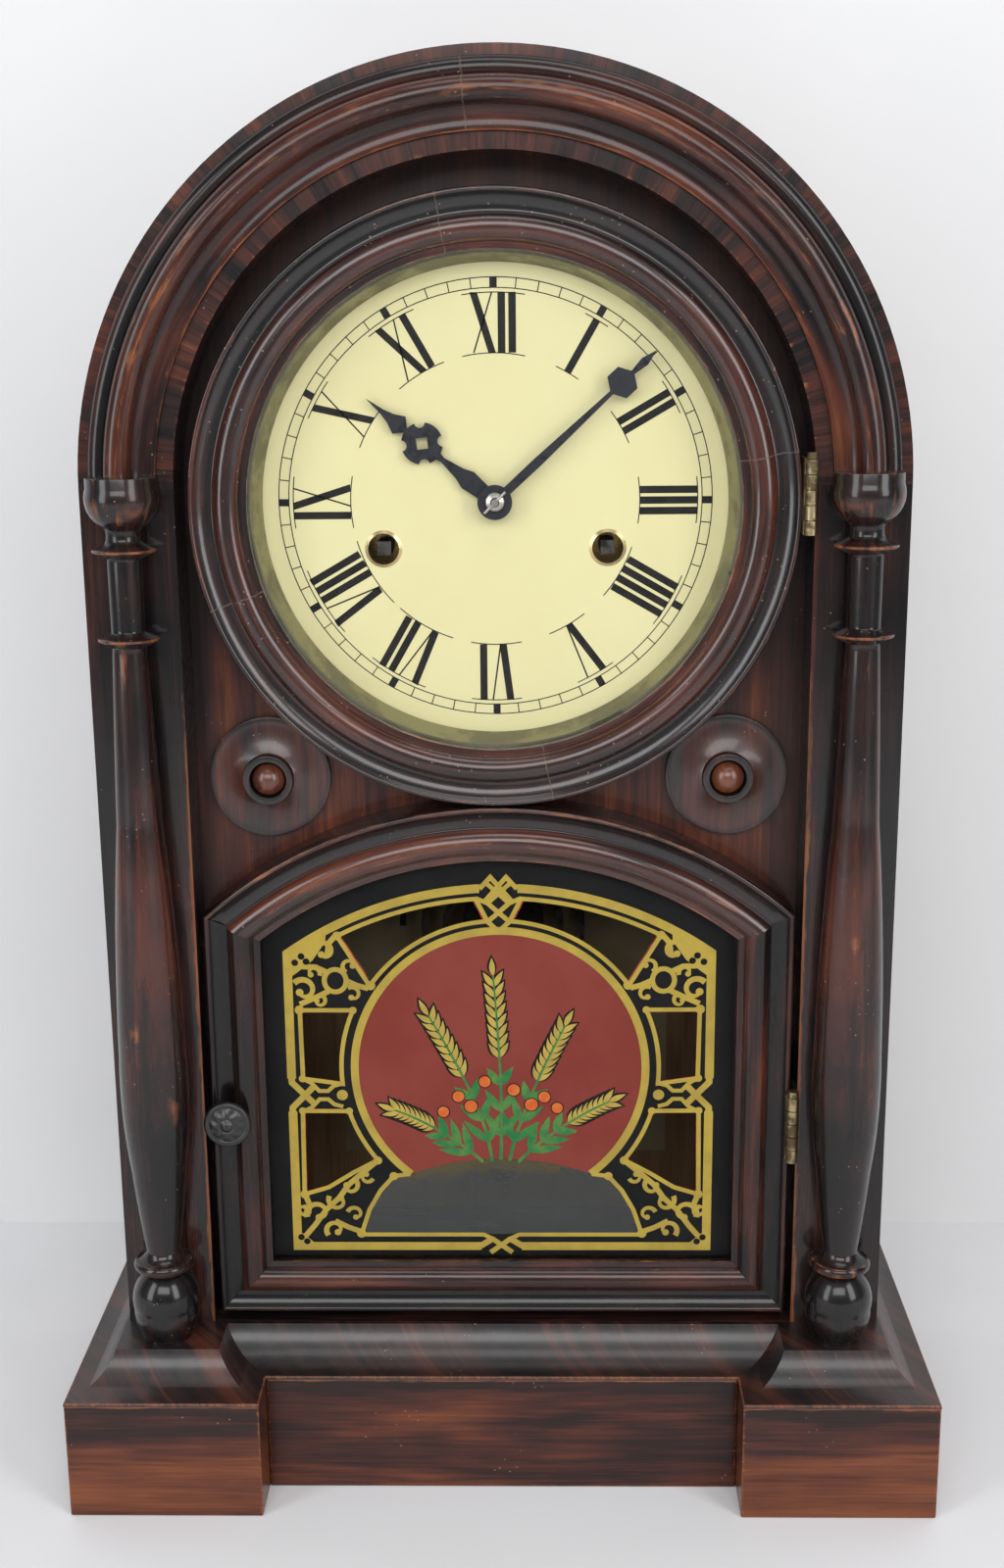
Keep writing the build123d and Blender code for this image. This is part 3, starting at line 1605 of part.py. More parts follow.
def strike_gong():
    """Flat spiral gong of stout wire, wound on the post of its iron base."""
    strip = Rot(0, 0, 180) * spiral_face(gong_inner_radius, gong_pitch, gong_turns, gong_wire)
    coil = wheel(0, gong_z, strip, gong_y - gong_wire / 2, gong_wire)
    disc = rod(0, gong_z, gong_base_radius, back_board_y - gong_base_thickness, back_board_y)
    post = rod(0, gong_z, gong_inner_radius, gong_y - gong_wire / 2, back_board_y)
    return coil + disc + post


def paper_label():
    """Plain paper label on the inside of the back board."""
    sheet = block(
        -label_half_width, label_half_width, back_board_y - label_thickness, back_board_y,
        label_bottom_z, label_top_z,
    )
    return sheet - rod(0, gong_z, gong_base_radius + seat_gap, pendulum_y, back_y)


def export_all():
    """Write one STEP file for each named sub-part."""
    os.makedirs("parts", exist_ok=True)
    pillars = [pillar(x, z) for x, z in pillar_places()]
    screws = [
        movement_screw(side, z) for side in (-1, 1) for z in (plate_ear_low_z, plate_ear_high_z)
    ]
    right_cove = block_cove()
    nodes = {
        "case_sides": [mirrored(case_side()), case_side()],
        "arch_top": arch_top(),
        "back_board": back_board(),
        "case_floor": case_floor(),
        "face_stiles": [face_stile_left(), face_stile()],
        "face_arch": face_arch(),
        "dial_panel": dial_panel(),
        "arch_moulding": arch_moulding(),
        "column_left": mirrored(column()),
        "column_right": column(),
        "roundels": [mirrored(roundel()), roundel()],
        "base_blocks": [mirrored(base_block()), base_block()],
        "base_coves": [mirrored(right_cove), right_cove, apron_cove(right_cove)],
        "apron": apron(),
        "dial_door_ring": dial_door_ring(),
        "dial_glass": dial_glass(),
        "sight_ring": sight_ring(),
        "lower_door_top_rail": lower_door_top_rail(),
        "lower_door_bottom_rail": lower_door_bottom_rail(),
        "lower_door_stile_left": lower_door_stile_left(),
        "lower_door_stile_right": lower_door_stile_right(),
        "tablet_glass": tablet_glass(),
        "glass_stops": glass_stops(),
        "door_knob": door_knob(),
        "door_latch": door_latch(),
        "hinge_case_leaves": [hinge_leaf(z, 1, 0) for z in (dial_hinge_z, lower_hinge_z)],
        "dial_hinge_door_leaf": hinge_leaf(dial_hinge_z, -1, 1),
        "lower_hinge_door_leaf": hinge_leaf(lower_hinge_z, -1, 1),
        "hinge_pins": [hinge_pin(z) for z in (dial_hinge_z, lower_hinge_z)],
        "dial": dial(),
        "winding_grommets": [winding_grommet(-1), winding_grommet(1)],
        "minute_hand": minute_hand(),
        "hour_hand": hour_hand(),
        "hand_fixings": [hand_washer(), hand_pin()],
        "front_plate": front_plate(),
        "back_plate": back_plate(),
        "plate_pillars": pillars,
        "mount_rails": [mount_rail(-1), mount_rail(1)],
        "movement_screws": screws,
        "time_great_wheel": great_wheel(1, great_teeth),
        "time_winding_arbor": winding_arbor(1),
        "centre_arbor": centre_arbor(),
        "centre_wheel": centre_wheel(),
        "third_wheel": third_wheel(),
        "escape_wheel": escape_wheel(),
        "verge": verge(),
        "back_cock": back_cock(),
        "minute_wheel": minute_wheel(),
        "hour_wheel": hour_wheel(),
        "mainsprings": [mirrored(mainspring()), mainspring()],
        "pendulum_rod": pendulum_rod(),
        "pendulum_bob": pendulum_bob(),
        "rating_nut": rating_nut(),
        "strike_great_wheel": great_wheel(-1, strike_great_teeth),
        "strike_winding_arbor": winding_arbor(-1),
        "strike_pin_wheel": strike_pin_wheel(),
        "strike_fly": fly(),
        "strike_hammer": strike_hammer(),
        "strike_gong": strike_gong(),
        "paper_label": paper_label(),
    }
    for name, piece in nodes.items():
        shape = Compound(children=piece) if isinstance(piece, list) else piece
        export_step(shape, "parts/" + name + ".step")
    spring = least_spiral_gap(spring_radius(0), spring_pitch, spring_turns, spring_strip)
    gong = least_spiral_gap(gong_inner_radius, gong_pitch, gong_turns, gong_wire)
    print("nodes", len(nodes))
    print("least gap between turns, mainspring and gong:", round(spring, 2), round(gong, 2))


export_all()
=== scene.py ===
import logging
import math
from dataclasses import dataclass, field
from enum import Enum
from typing import Callable, Optional, Sequence, Union

import bmesh
import bpy
from mathutils import Matrix, Vector


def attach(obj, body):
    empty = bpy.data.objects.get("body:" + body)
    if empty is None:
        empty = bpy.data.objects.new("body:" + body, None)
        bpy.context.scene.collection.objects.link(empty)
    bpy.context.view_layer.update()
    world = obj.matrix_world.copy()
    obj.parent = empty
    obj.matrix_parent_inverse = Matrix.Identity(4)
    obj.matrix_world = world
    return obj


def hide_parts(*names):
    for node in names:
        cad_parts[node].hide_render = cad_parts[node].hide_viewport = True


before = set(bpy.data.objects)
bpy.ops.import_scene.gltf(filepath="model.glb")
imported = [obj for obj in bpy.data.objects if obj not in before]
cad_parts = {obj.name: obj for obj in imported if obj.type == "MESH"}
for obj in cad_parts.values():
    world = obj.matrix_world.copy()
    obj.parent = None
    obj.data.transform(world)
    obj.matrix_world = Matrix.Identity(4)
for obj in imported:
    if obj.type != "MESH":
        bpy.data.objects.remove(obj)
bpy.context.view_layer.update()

MM = 0.001
log = logging.getLogger("shelf_clock")

Socket = bpy.types.NodeSocket
Signal = Union[Socket, float, Sequence[float]]
Colour = tuple[float, float, float]
Pair = tuple[float, float]
Spot = tuple[float, float, float]
Station = Callable[[float], Pair]


@dataclass(frozen=True)
class Places:
    """Main places of the clock in millimetres; the front faces -Y."""

    arch_z: float = 340.5
    case_half: float = 129.5
    recess_half: float = 99.8
    face_y: float = -29.0
    panel_y: float = -11.0
    front_y: float = -62.5
    back_y: float = 62.5
    base_half: float = 145.5
    block_width: float = 65.2
    block_height: float = 41.2
    base_top: float = 53.8
    rail_back_y: float = -11.5
    dial_z: float = 334.9


AT = Places()


# Node trees

class Graph:
    """The node tree of one finish, while it is being written."""

    def __init__(self, name: str) -> None:
        """Starts an empty material.

        Args:
            name: Its name.
        """
        self.material = bpy.data.materials.new(name)
        self.material.use_nodes = True
        self.tree = self.material.node_tree
        self.tree.nodes.clear()

    def add(self, kind: str, **settings: object) -> bpy.types.Node:
        """Adds a node.

        Args:
            kind: Blender's name of the node type.
            settings: Properties that the node gets.

        Returns:
            The new node.
        """
        node = self.tree.nodes.new(kind)
        for key, value in settings.items():
            setattr(node, key, value)
        return node

    def feed(self, socket: Socket, value: Signal) -> None:
        """Gives a socket its value.

        Args:
            socket: An input socket.
            value: Another node's output, or a plain number or colour.
        """
        if isinstance(value, bpy.types.NodeSocket):
            self.tree.links.new(value, socket)
        elif isinstance(value, (int, float)):
            socket.default_value = value
        else:
            size = len(socket.default_value)
            socket.default_value = (tuple(value) + (1.0,))[:size]

    def math(self, operation: str, first: Signal, second: Signal = 0.0, third: Signal = 0.0) -> Socket:
        """Works out a number.

        Args:
            operation: Name of the operation, such as ADD.
            first: First operand.
            second: Second operand.
            third: Third operand, for MULTIPLY_ADD.

        Returns:
            The result.
        """
        node = self.add("ShaderNodeMath", operation=operation)
        for socket, value in zip(node.inputs, (first, second, third)):
            self.feed(socket, value)
        return node.outputs[0]

    def total(self, *shares: tuple[Signal, float]) -> Socket:
        """Adds numbers up.

        Args:
            shares: Pairs of a number and its weight.

        Returns:
            The weighted sum.
        """
        result: Signal = 0.0
        for value, weight in shares:
            result = self.math("MULTIPLY_ADD", value, weight, result)
        return result

    def axes(self) -> tuple[Socket, Socket, Socket]:
        """Gives the X, Y and Z of the surface in metres.

        Returns:
            The three numbers.
        """
        place = self.add("ShaderNodeTexCoord").outputs["Object"]
        split = self.add("ShaderNodeSeparateXYZ")
        self.feed(split.inputs[0], place)
        return tuple(split.outputs)

    def join(self, x: Signal, y: Signal, z: Signal) -> Socket:
        """Makes a vector.

        Args:
            x: First part.
            y: Second part.
            z: Third part.

        Returns:
            The vector.
        """
        node = self.add("ShaderNodeCombineXYZ")
        for socket, value in zip(node.inputs, (x, y, z)):
            self.feed(socket, value)
        return node.outputs[0]

    def stretched(self, place: Signal, along: float, across: float) -> Socket:
        """Scales a grain vector.

        Args:
            place: Grain vector; its first two parts run along the grain.
            along: Features per metre along the grain.
            across: Features per metre across it.

        Returns:
            The scaled vector.
        """
        node = self.add("ShaderNodeVectorMath", operation="MULTIPLY")
        self.feed(node.inputs[0], place)
        self.feed(node.inputs[1], (along, along, across))
        return node.outputs[0]

    def noise(self, place: Signal, scale: float = 1.0, detail: float = 3.0, rough: float = 0.55,
              swirl: float = 0.0) -> Socket:
        """Adds cloudy noise.

        Args:
            place: Where it is read.
            scale: Features per unit.
            detail: Number of finer layers.
            rough: Strength of the finer layers.
            swirl: How far the noise bends itself.

        Returns:
            A number about 0.5.
        """
        node = self.add("ShaderNodeTexNoise")
        for name, value in (("Vector", place), ("Scale", scale), ("Detail", detail),
                            ("Roughness", rough), ("Distortion", swirl)):
            self.feed(node.inputs[name], value)
        return node.outputs[0]

    def cells(self, place: Signal, scale: float) -> Socket:
        """Gives the distance to the nearest of many scattered points.

        Args:
            place: Where it is read.
            scale: How close together the points are.

        Returns:
            The distance.
        """
        node = self.add("ShaderNodeTexVoronoi")
        self.feed(node.inputs["Vector"], place)
        self.feed(node.inputs["Scale"], scale)
        return node.outputs["Distance"]

    def band(self, value: Signal, low: float, high: float) -> Socket:
        """Turns a number into a soft step.

        Args:
            value: The number.
            low: Where the step begins.
            high: Where it ends.

        Returns:
            0 before the step, 1 after it.
        """
        node = self.add("ShaderNodeMapRange", interpolation_type="SMOOTHSTEP")
        for name, number in (("Value", value), ("From Min", low), ("From Max", high)):
            self.feed(node.inputs[name], number)
        return node.outputs[0]

    def ramp(self, value: Signal, *stops: tuple[float, Colour]) -> Socket:
        """Turns a number into a colour.

        Args:
            value: The number.
            stops: Pairs of a place and its colour.

        Returns:
            The colour.
        """
        node = self.add("ShaderNodeValToRGB")
        self.feed(node.inputs[0], value)
        elements = node.color_ramp.elements
        while len(elements) < len(stops):
            elements.new(0.5)
        for element, (place, colour) in zip(elements, stops):
            element.position = place
            element.color = (*colour, 1.0)
        return node.outputs[0]

    def blend(self, share: Signal, first: Signal, second: Signal) -> Socket:
        """Mixes two colours.

        Args:
            share: How much of the second there is.
            first: The first colour.
            second: The second colour.

        Returns:
            The mixed colour.
        """
        node = self.add("ShaderNodeMix", data_type="RGBA")
        for index, value in ((0, share), (6, first), (7, second)):
            self.feed(node.inputs[index], value)
        return node.outputs[2]

    def layer(self, name: str) -> bpy.types.Node:
        """Reads an attribute of the mesh."""
        return self.add("ShaderNodeAttribute", attribute_name=name)

    def bump(self, height: Signal, distance: float, under: Optional[Socket] = None) -> Socket:
        """Raises the surface.

        Args:
            height: How high it stands, 0 to 1.
            distance: Millimetres between 0 and 1.
            under: A normal that this one is laid on.

        Returns:
            The normal.
        """
        node = self.add("ShaderNodeBump")
        self.feed(node.inputs["Height"], height)
        self.feed(node.inputs["Distance"], distance * MM)
        if under is not None:
            self.feed(node.inputs["Normal"], under)
        return node.outputs[0]

    def surface(self, **values: Signal) -> bpy.types.Material:
        """Ends the tree in a surface.

        Args:
            values: Socket names with underscores for spaces, and their values.

        Returns:
            The finished material.
        """
        shader = self.add("ShaderNodeBsdfPrincipled")
        for name, value in values.items():
            self.feed(shader.inputs[name.replace("_", " ")], value)
        output = self.add("ShaderNodeOutputMaterial")
        self.tree.links.new(shader.outputs[0], output.inputs["Surface"])
        return self.material


# Finishes

class Layout(Enum):
    """How the grain of a board runs."""

    CARVED = "as its mesh says"
    UPRIGHT = "up and down"
    LENGTHWISE = "from side to side"
    CROSS_ARCH = "across the arch, like the spokes of a wheel"

    def grain(self, graph: Graph) -> Socket:
        """Gives the grain vector.

        Args:
            graph: The tree that it is written in.

        Returns:
            A vector in metres: two parts along the grain, then one across it.
        """
        if self is Layout.CARVED:
            return graph.layer("grain").outputs["Vector"]
        x, y, z = graph.axes()
        if self is Layout.UPRIGHT:
            return graph.join(z, 0.0, graph.total((x, 1.0), (y, 0.83)))
        if self is Layout.LENGTHWISE:
            return graph.join(x, 0.0, graph.total((z, 1.0), (y, 0.83)))
        rise = graph.math("SUBTRACT", z, AT.arch_z * MM)
        turn = graph.math("ARCTAN2", rise, x)
        reach = graph.math("SQRT", graph.total((graph.math("MULTIPLY", x, x), 1.0),
                                               (graph.math("MULTIPLY", rise, rise), 1.0)))
        return graph.join(reach, y, graph.math("MULTIPLY", turn, AT.case_half * MM))


class Edge(Enum):
    """Which edge of a flat board is rubbed bright, and where painted shade falls in the recess round the
    doors.
    """

    NONE = "none"
    STILE = "the inner edge of an upright"
    ARCH = "the inner edge of the arch"
    FIELD = "none, but the field round the dial door is darkened"

    def grime_and_painted_shade(self, graph: Graph) -> Signal:
        """Gives the painted shade: how far the surface is darkened where shade falls in the recess of the
        doors.

        Args:
            graph: The tree that it is written in.

        Returns:
            1 where the painted shade is full, 0 where there is none.
        """
        if self is Edge.NONE:
            return 0.0
        x, y, z = graph.axes()
        # The recess walls behind the face get painted shade, much weaker towards the top of the arch, where
        # the soffit is lit.
        if self is not Edge.FIELD:
            deep = graph.band(y, (AT.face_y + 0.4) * MM, (AT.face_y + 3.0) * MM)
            return graph.math("MULTIPLY", deep, graph.math("SUBTRACT", 1.0, graph.math(
                "MULTIPLY", graph.band(z, 0.375, 0.42), 0.92)))
        # The field gets painted shade in a ring round the dial door, which the door's ring shades, and in
        # strips beside the recess walls.
        rise = graph.math("SUBTRACT", z, AT.arch_z * MM)
        reach = graph.math("SQRT", graph.total((graph.math("MULTIPLY", x, x), 1.0),
                                               (graph.math("MULTIPLY", rise, rise), 1.0)))
        round_door = graph.math("MULTIPLY", graph.band(reach, 0.112, 0.098), graph.band(z, 0.252, 0.285))
        sides = graph.band(graph.math("ABSOLUTE", x), 0.088, 0.098)
        return graph.math("MAXIMUM", round_door, sides)

    def rub(self, graph: Graph) -> Signal:
        """Gives how close the surface is to that edge.

        Args:
            graph: The tree that it is written in.

        Returns:
            1 on the edge, 0 a few millimetres away.
        """
        if self in (Edge.NONE, Edge.FIELD):
            return 0.0
        x, y, z = graph.axes()
        if self is Edge.STILE:
            away = graph.math("ABSOLUTE", x)
        else:
            rise = graph.math("SUBTRACT", z, AT.arch_z * MM)
            away = graph.math("SQRT", graph.total((graph.math("MULTIPLY", x, x), 1.0),
                                                  (graph.math("MULTIPLY", rise, rise), 1.0)))
        near = graph.band(away, (AT.recess_half + 2.4) * MM, AT.recess_half * MM)
        front = graph.band(y, (AT.face_y + 1.6) * MM, (AT.face_y + 0.3) * MM)
        low = graph.band(z, 0.34, 0.22) if self is Edge.STILE else 0.42
        return graph.math("MULTIPLY", graph.math("MULTIPLY", near, front), low)


@dataclass(frozen=True)
class Timber:
    """Polished wood: dark shellac over red-brown rosewood, rubbed through in streaks."""

    name: str
    layout: Layout = Layout.CARVED
    edge: Edge = Edge.NONE
    tone: float = 0.5
    wear: float = 0.0
    specks: float = 0.35
    gloss: float = 0.26
    coat: float = 0.46
    shine: float = 0.24
    dark: Colour = (0.0060, 0.0048, 0.0050)
    brown: Colour = (0.022, 0.0092, 0.0080)
    russet: Colour = (0.070, 0.0190, 0.0115)
    amber: Colour = (0.19, 0.055, 0.019)
    bare_dark: Colour = (0.075, 0.020, 0.0085)
    bare_light: Colour = (0.32, 0.105, 0.030)
    seams: tuple[float, ...] = ()
    seam_z: float = 0.0

    def seam_lines(self, graph: Graph, ragged: Signal) -> Signal:
        """Draws the glued joints of a round moulding.

        Args:
            graph: The tree that it is written in.
            ragged: Noise that makes the joints uneven.

        Returns:
            1 on a joint, 0 elsewhere.
        """
        if not self.seams:
            return 0.0
        x, _, z = graph.axes()
        rise = graph.math("SUBTRACT", z, self.seam_z * MM)
        turn = graph.math("ARCTAN2", rise, x)
        wavy = graph.total((turn, 1.0), (ragged, 0.018))
        lines: Signal = 0.0
        for seam in self.seams:
            away = graph.math("ABSOLUTE", graph.math("SUBTRACT", wavy, math.radians(seam) + 0.009))
            line = graph.band(away, 0.0030, 0.0010)
            lines = graph.math("MAXIMUM", line, lines)
        return lines

    def make(self) -> bpy.types.Material:
        """Writes the material.

        Returns:
            The material.
        """
        graph = Graph(self.name)
        grain = self.layout.grain(graph)
        fibre = graph.noise(graph.stretched(grain, 24, 820), detail=4, rough=0.68)
        figure = graph.noise(graph.stretched(grain, 7, 92), detail=3, swirl=0.9)
        cloud = graph.noise(graph.stretched(grain, 26, 44), detail=2)
        patch = graph.noise(graph.stretched(grain, 85, 420), detail=4, rough=0.62, swirl=0.4)
        tone = graph.math("ADD", graph.layer("tone").outputs["Fac"], self.tone - 0.5)
        level = graph.total((fibre, 0.40), (figure, 0.62), (tone, 0.34), (cloud, 0.22))
        polish = graph.ramp(graph.math("SUBTRACT", level, 0.12), (0.40, self.dark), (0.50, self.brown),
                            (0.62, self.russet), (0.82, self.amber))
        rub = graph.total((graph.layer("wear").outputs["Fac"], 1.0), (self.edge.rub(graph), 0.75))
        ragged = graph.total((patch, 0.62), (fibre, 0.38), (rub, 0.52), (self.wear, 0.52))
        bare = graph.band(ragged, 0.68, 0.86)
        raw = graph.ramp(fibre, (0.32, self.bare_dark), (0.68, self.bare_light))
        colour = graph.blend(graph.math("MULTIPLY", bare, 0.85), polish, raw)
        # Painted shade in the door recess: the colour is blended towards the darkest polish.
        colour = graph.blend(graph.math("MULTIPLY", self.edge.grime_and_painted_shade(graph), 0.74), colour, self.dark)
        place = graph.add("ShaderNodeTexCoord").outputs["Object"]
        dots = graph.band(graph.cells(place, 430), 0.15, 0.07)
        crowd = 0.12 * self.specks
        thin = graph.band(graph.noise(place, 75, detail=2), 0.66 - crowd, 0.72 - crowd)
        speck = graph.math("MULTIPLY", graph.math("MULTIPLY", dots, thin), 0.75)
        colour = graph.blend(speck, colour, (0.30, 0.20, 0.13))
        seam = self.seam_lines(graph, patch)
        colour = graph.blend(graph.math("MULTIPLY", seam, 0.4), colour, (0.17, 0.115, 0.08))
        dull = graph.total((fibre, 0.16), (bare, 0.22), (cloud, 0.16), (seam, 0.3))
        roughness = graph.math("ADD", dull, self.gloss - 0.16)
        waves = graph.bump(graph.noise(place, 95, detail=2), 0.16)
        height = graph.total((fibre, 0.5), (bare, -0.45), (speck, -0.4), (seam, -0.8))
        return graph.surface(Base_Color=colour, Roughness=roughness, Normal=graph.bump(height, 0.07, waves),
                             Specular_IOR_Level=self.shine, Coat_Weight=self.coat, Coat_Roughness=0.09)


@dataclass(frozen=True)
class Softwood:
    """Plain dusty pine or walnut of the hidden boards."""

    name: str
    layout: Layout
    pale: Colour = (0.36, 0.22, 0.11)
    deep: Colour = (0.20, 0.10, 0.045)

    def make(self) -> bpy.types.Material:
        """Writes the material.

        Returns:
            The material.
        """
        graph = Graph(self.name)
        grain = self.layout.grain(graph)
        rings = graph.noise(graph.stretched(grain, 3, 60), detail=3, swirl=1.2)
        fibre = graph.noise(graph.stretched(grain, 25, 900), detail=3, rough=0.7)
        colour = graph.ramp(graph.total((rings, 0.7), (fibre, 0.3)), (0.38, self.deep), (0.62, self.pale))
        # Dark dust on the hidden boards; no painted shade here.
        grime_and_painted_shade = graph.band(graph.noise(grain, 14, detail=3), 0.45, 0.7)
        colour = graph.blend(graph.math("MULTIPLY", grime_and_painted_shade, 0.5), colour, (0.06, 0.04, 0.025))
        roughness = graph.total((fibre, 0.3), (grime_and_painted_shade, 0.1), (0.5, 1.0))
        return graph.surface(Base_Color=colour, Roughness=roughness, Normal=graph.bump(fibre, 0.12))


@dataclass(frozen=True)
class Metal:
    """Metal with a bright and a tarnished colour."""

    name: str
    bright: Colour
    tarnish: Colour
    cover: float = 0.5
    rough: float = 0.3
    scale: float = 260.0

    def make(self) -> bpy.types.Material:
        """Writes the material.

        Returns:
            The material.
        """
        graph = Graph(self.name)
        place = graph.add("ShaderNodeTexCoord").outputs["Object"]
        cloud = graph.noise(place, self.scale, detail=4, rough=0.62)
        wide = graph.noise(place, self.scale / 6, detail=2)
        scratch = graph.noise(graph.stretched(place, 200, 2600), detail=2)
        spread = 0.3 * self.cover
        mask = graph.band(graph.total((cloud, 0.6), (wide, 0.4)), 0.62 - spread, 0.74 - spread)
        colour = graph.blend(mask, self.bright, self.tarnish)
        roughness = graph.total((mask, 0.22), (scratch, 0.14), (self.rough - 0.07, 1.0))
        normal = graph.bump(graph.total((scratch, 0.4), (mask, 0.6)), 0.02)
        return graph.surface(Base_Color=colour, Metallic=1.0, Roughness=roughness, Normal=normal)


@dataclass(frozen=True)
class Paint:
    """Old paint: a colour that drifts to another in clouds, with chips."""

    name: str
    base: Colour
    drift: Colour
    scale: float = 60.0
    rough: float = 0.4
    coat: float = 0.0
    metallic: float = 0.0
    chips: float = 0.0
    chip_colour: Colour = (0.02, 0.018, 0.016)
    relief: float = 0.03
    shine: float = 0.5
    one_sided: bool = False

    def make(self) -> bpy.types.Material:
        """Writes the material; a one-sided sheet is clear from its back.

        Returns:
            The material.
        """
        graph = Graph(self.name)
        place = graph.add("ShaderNodeTexCoord").outputs["Object"]
        cloud = graph.noise(place, self.scale, detail=4, rough=0.6)
        fine = graph.noise(place, self.scale * 14, detail=2)
        colour = graph.blend(graph.band(cloud, 0.34, 0.68), self.base, self.drift)
        chipped = graph.band(graph.total((fine, 0.65), (cloud, 0.35)), 0.78 - self.chips, 0.81 - self.chips)
        colour = graph.blend(chipped, colour, self.chip_colour)
        roughness = graph.total((cloud, 0.14), (chipped, 0.2), (self.rough - 0.07, 1.0))
        alpha = 1.0
        if self.one_sided:
            back = graph.add("ShaderNodeNewGeometry").outputs["Backfacing"]
            alpha = graph.total((back, -1.0), (1.0, 1.0))
        return graph.surface(Base_Color=colour, Roughness=roughness, Metallic=self.metallic, Alpha=alpha,
                             Coat_Weight=self.coat, Coat_Roughness=0.15, Specular_IOR_Level=self.shine,
                             Normal=graph.bump(graph.total((fine, 0.7), (chipped, -0.5)), self.relief))


@dataclass(frozen=True)
class Film:
    """Thin grimy film on glass, denser and browner in clouds."""

    name: str
    grey: Colour = (0.080, 0.084, 0.081)
    brown: Colour = (0.105, 0.085, 0.045)
    cover: float = 0.42

    def make(self) -> bpy.types.Material:
        """Writes the material.

        Returns:
            The material.
        """
        graph = Graph(self.name)
        place = graph.add("ShaderNodeTexCoord").outputs["Object"]
        cloud = graph.noise(place, 38, detail=4, rough=0.6, swirl=0.6)
        _, _, z = graph.axes()
        high = graph.band(z, 0.096, 0.111)
        blotch = graph.band(graph.total((cloud, 0.6), (high, 0.34)), 0.50, 0.66)
        colour = graph.blend(blotch, self.grey, self.brown)
        alpha = graph.total((cloud, 0.3), (blotch, 0.22), (self.cover - 0.1, 1.0))
        return graph.surface(Base_Color=colour, Roughness=0.55, Specular_IOR_Level=0.1, Alpha=alpha,
                             Normal=graph.bump(cloud, 0.01))


@dataclass(frozen=True)
class Glass:
    """Thin clear glass: it shows what is behind, and mirrors more towards its edges."""

    name: str
    mirror: float = 0.03
    smears: float = 0.03

    def make(self) -> bpy.types.Material:
        """Writes the material.

        Returns:
            The material.
        """
        graph = Graph(self.name)
        place = graph.add("ShaderNodeTexCoord").outputs["Object"]
        smear = graph.band(graph.noise(place, 22, detail=4, rough=0.6, swirl=0.8), 0.52, 0.75)
        slant = graph.add("ShaderNodeLayerWeight").outputs["Facing"]
        rim = graph.math("POWER", slant, 5.0)
        alpha = graph.total((rim, 0.9), (smear, self.smears), (self.mirror, 1.0))
        roughness = graph.total((smear, 0.05), (0.03, 1.0))
        waves = graph.bump(graph.noise(place, 9, detail=1), 0.06)
        return graph.surface(Base_Color=(0.93, 0.95, 0.94), Metallic=1.0, Roughness=roughness, Alpha=alpha,
                             Normal=waves)


# Mesh making

@dataclass(frozen=True)
class Step:
    """One run of a section: where it ends, how far it bulges, and its finish."""

    offset: float
    height: float
    rise: float = 0.0
    wear: float = 0.0
    crest: float = 0.0
    tone: float = 0.0


@dataclass(frozen=True)
class Mark:
    """A point of a section, with its finish and its distance along the section."""

    offset: float
    height: float
    wear: float = 0.0
    tone: float = 0.0
    girth: float = 0.0


def arc_points(start: Pair, end: Pair, rise: float, pitch: float) -> list[tuple[float, float, float]]:
    """Divides a run of a section, straight or bulged.

    Args:
        start: Offset and height where it starts.
        end: Offset and height where it ends.
        rise: How far its middle stands above the straight line.
        pitch: About how far apart the points are.

    Returns:
        Offset, height and share of the way, for each point after the start.
    """
    span = math.hypot(end[0] - start[0], end[1] - start[1])
    if abs(rise) < 1e-6:
        return [(*end, 1.0)]
    along = ((end[0] - start[0]) / span, (end[1] - start[1]) / span)
    out = (-along[1], along[0])
    half = 2 * math.atan2(2 * abs(rise), span)
    radius = span / 2 / math.sin(half)
    sign = math.copysign(1.0, rise)
    count = max(4, min(28, round(2 * half * radius / pitch)))
    points = []
    for index in range(1, count + 1):
        turn = -half + 2 * half * index / count
        forward = span / 2 + radius * math.sin(turn)
        up = sign * (radius * math.cos(turn) - radius + abs(rise))
        points.append((start[0] + along[0] * forward + out[0] * up,
                       start[1] + along[1] * forward + out[1] * up, index / count))
    return points


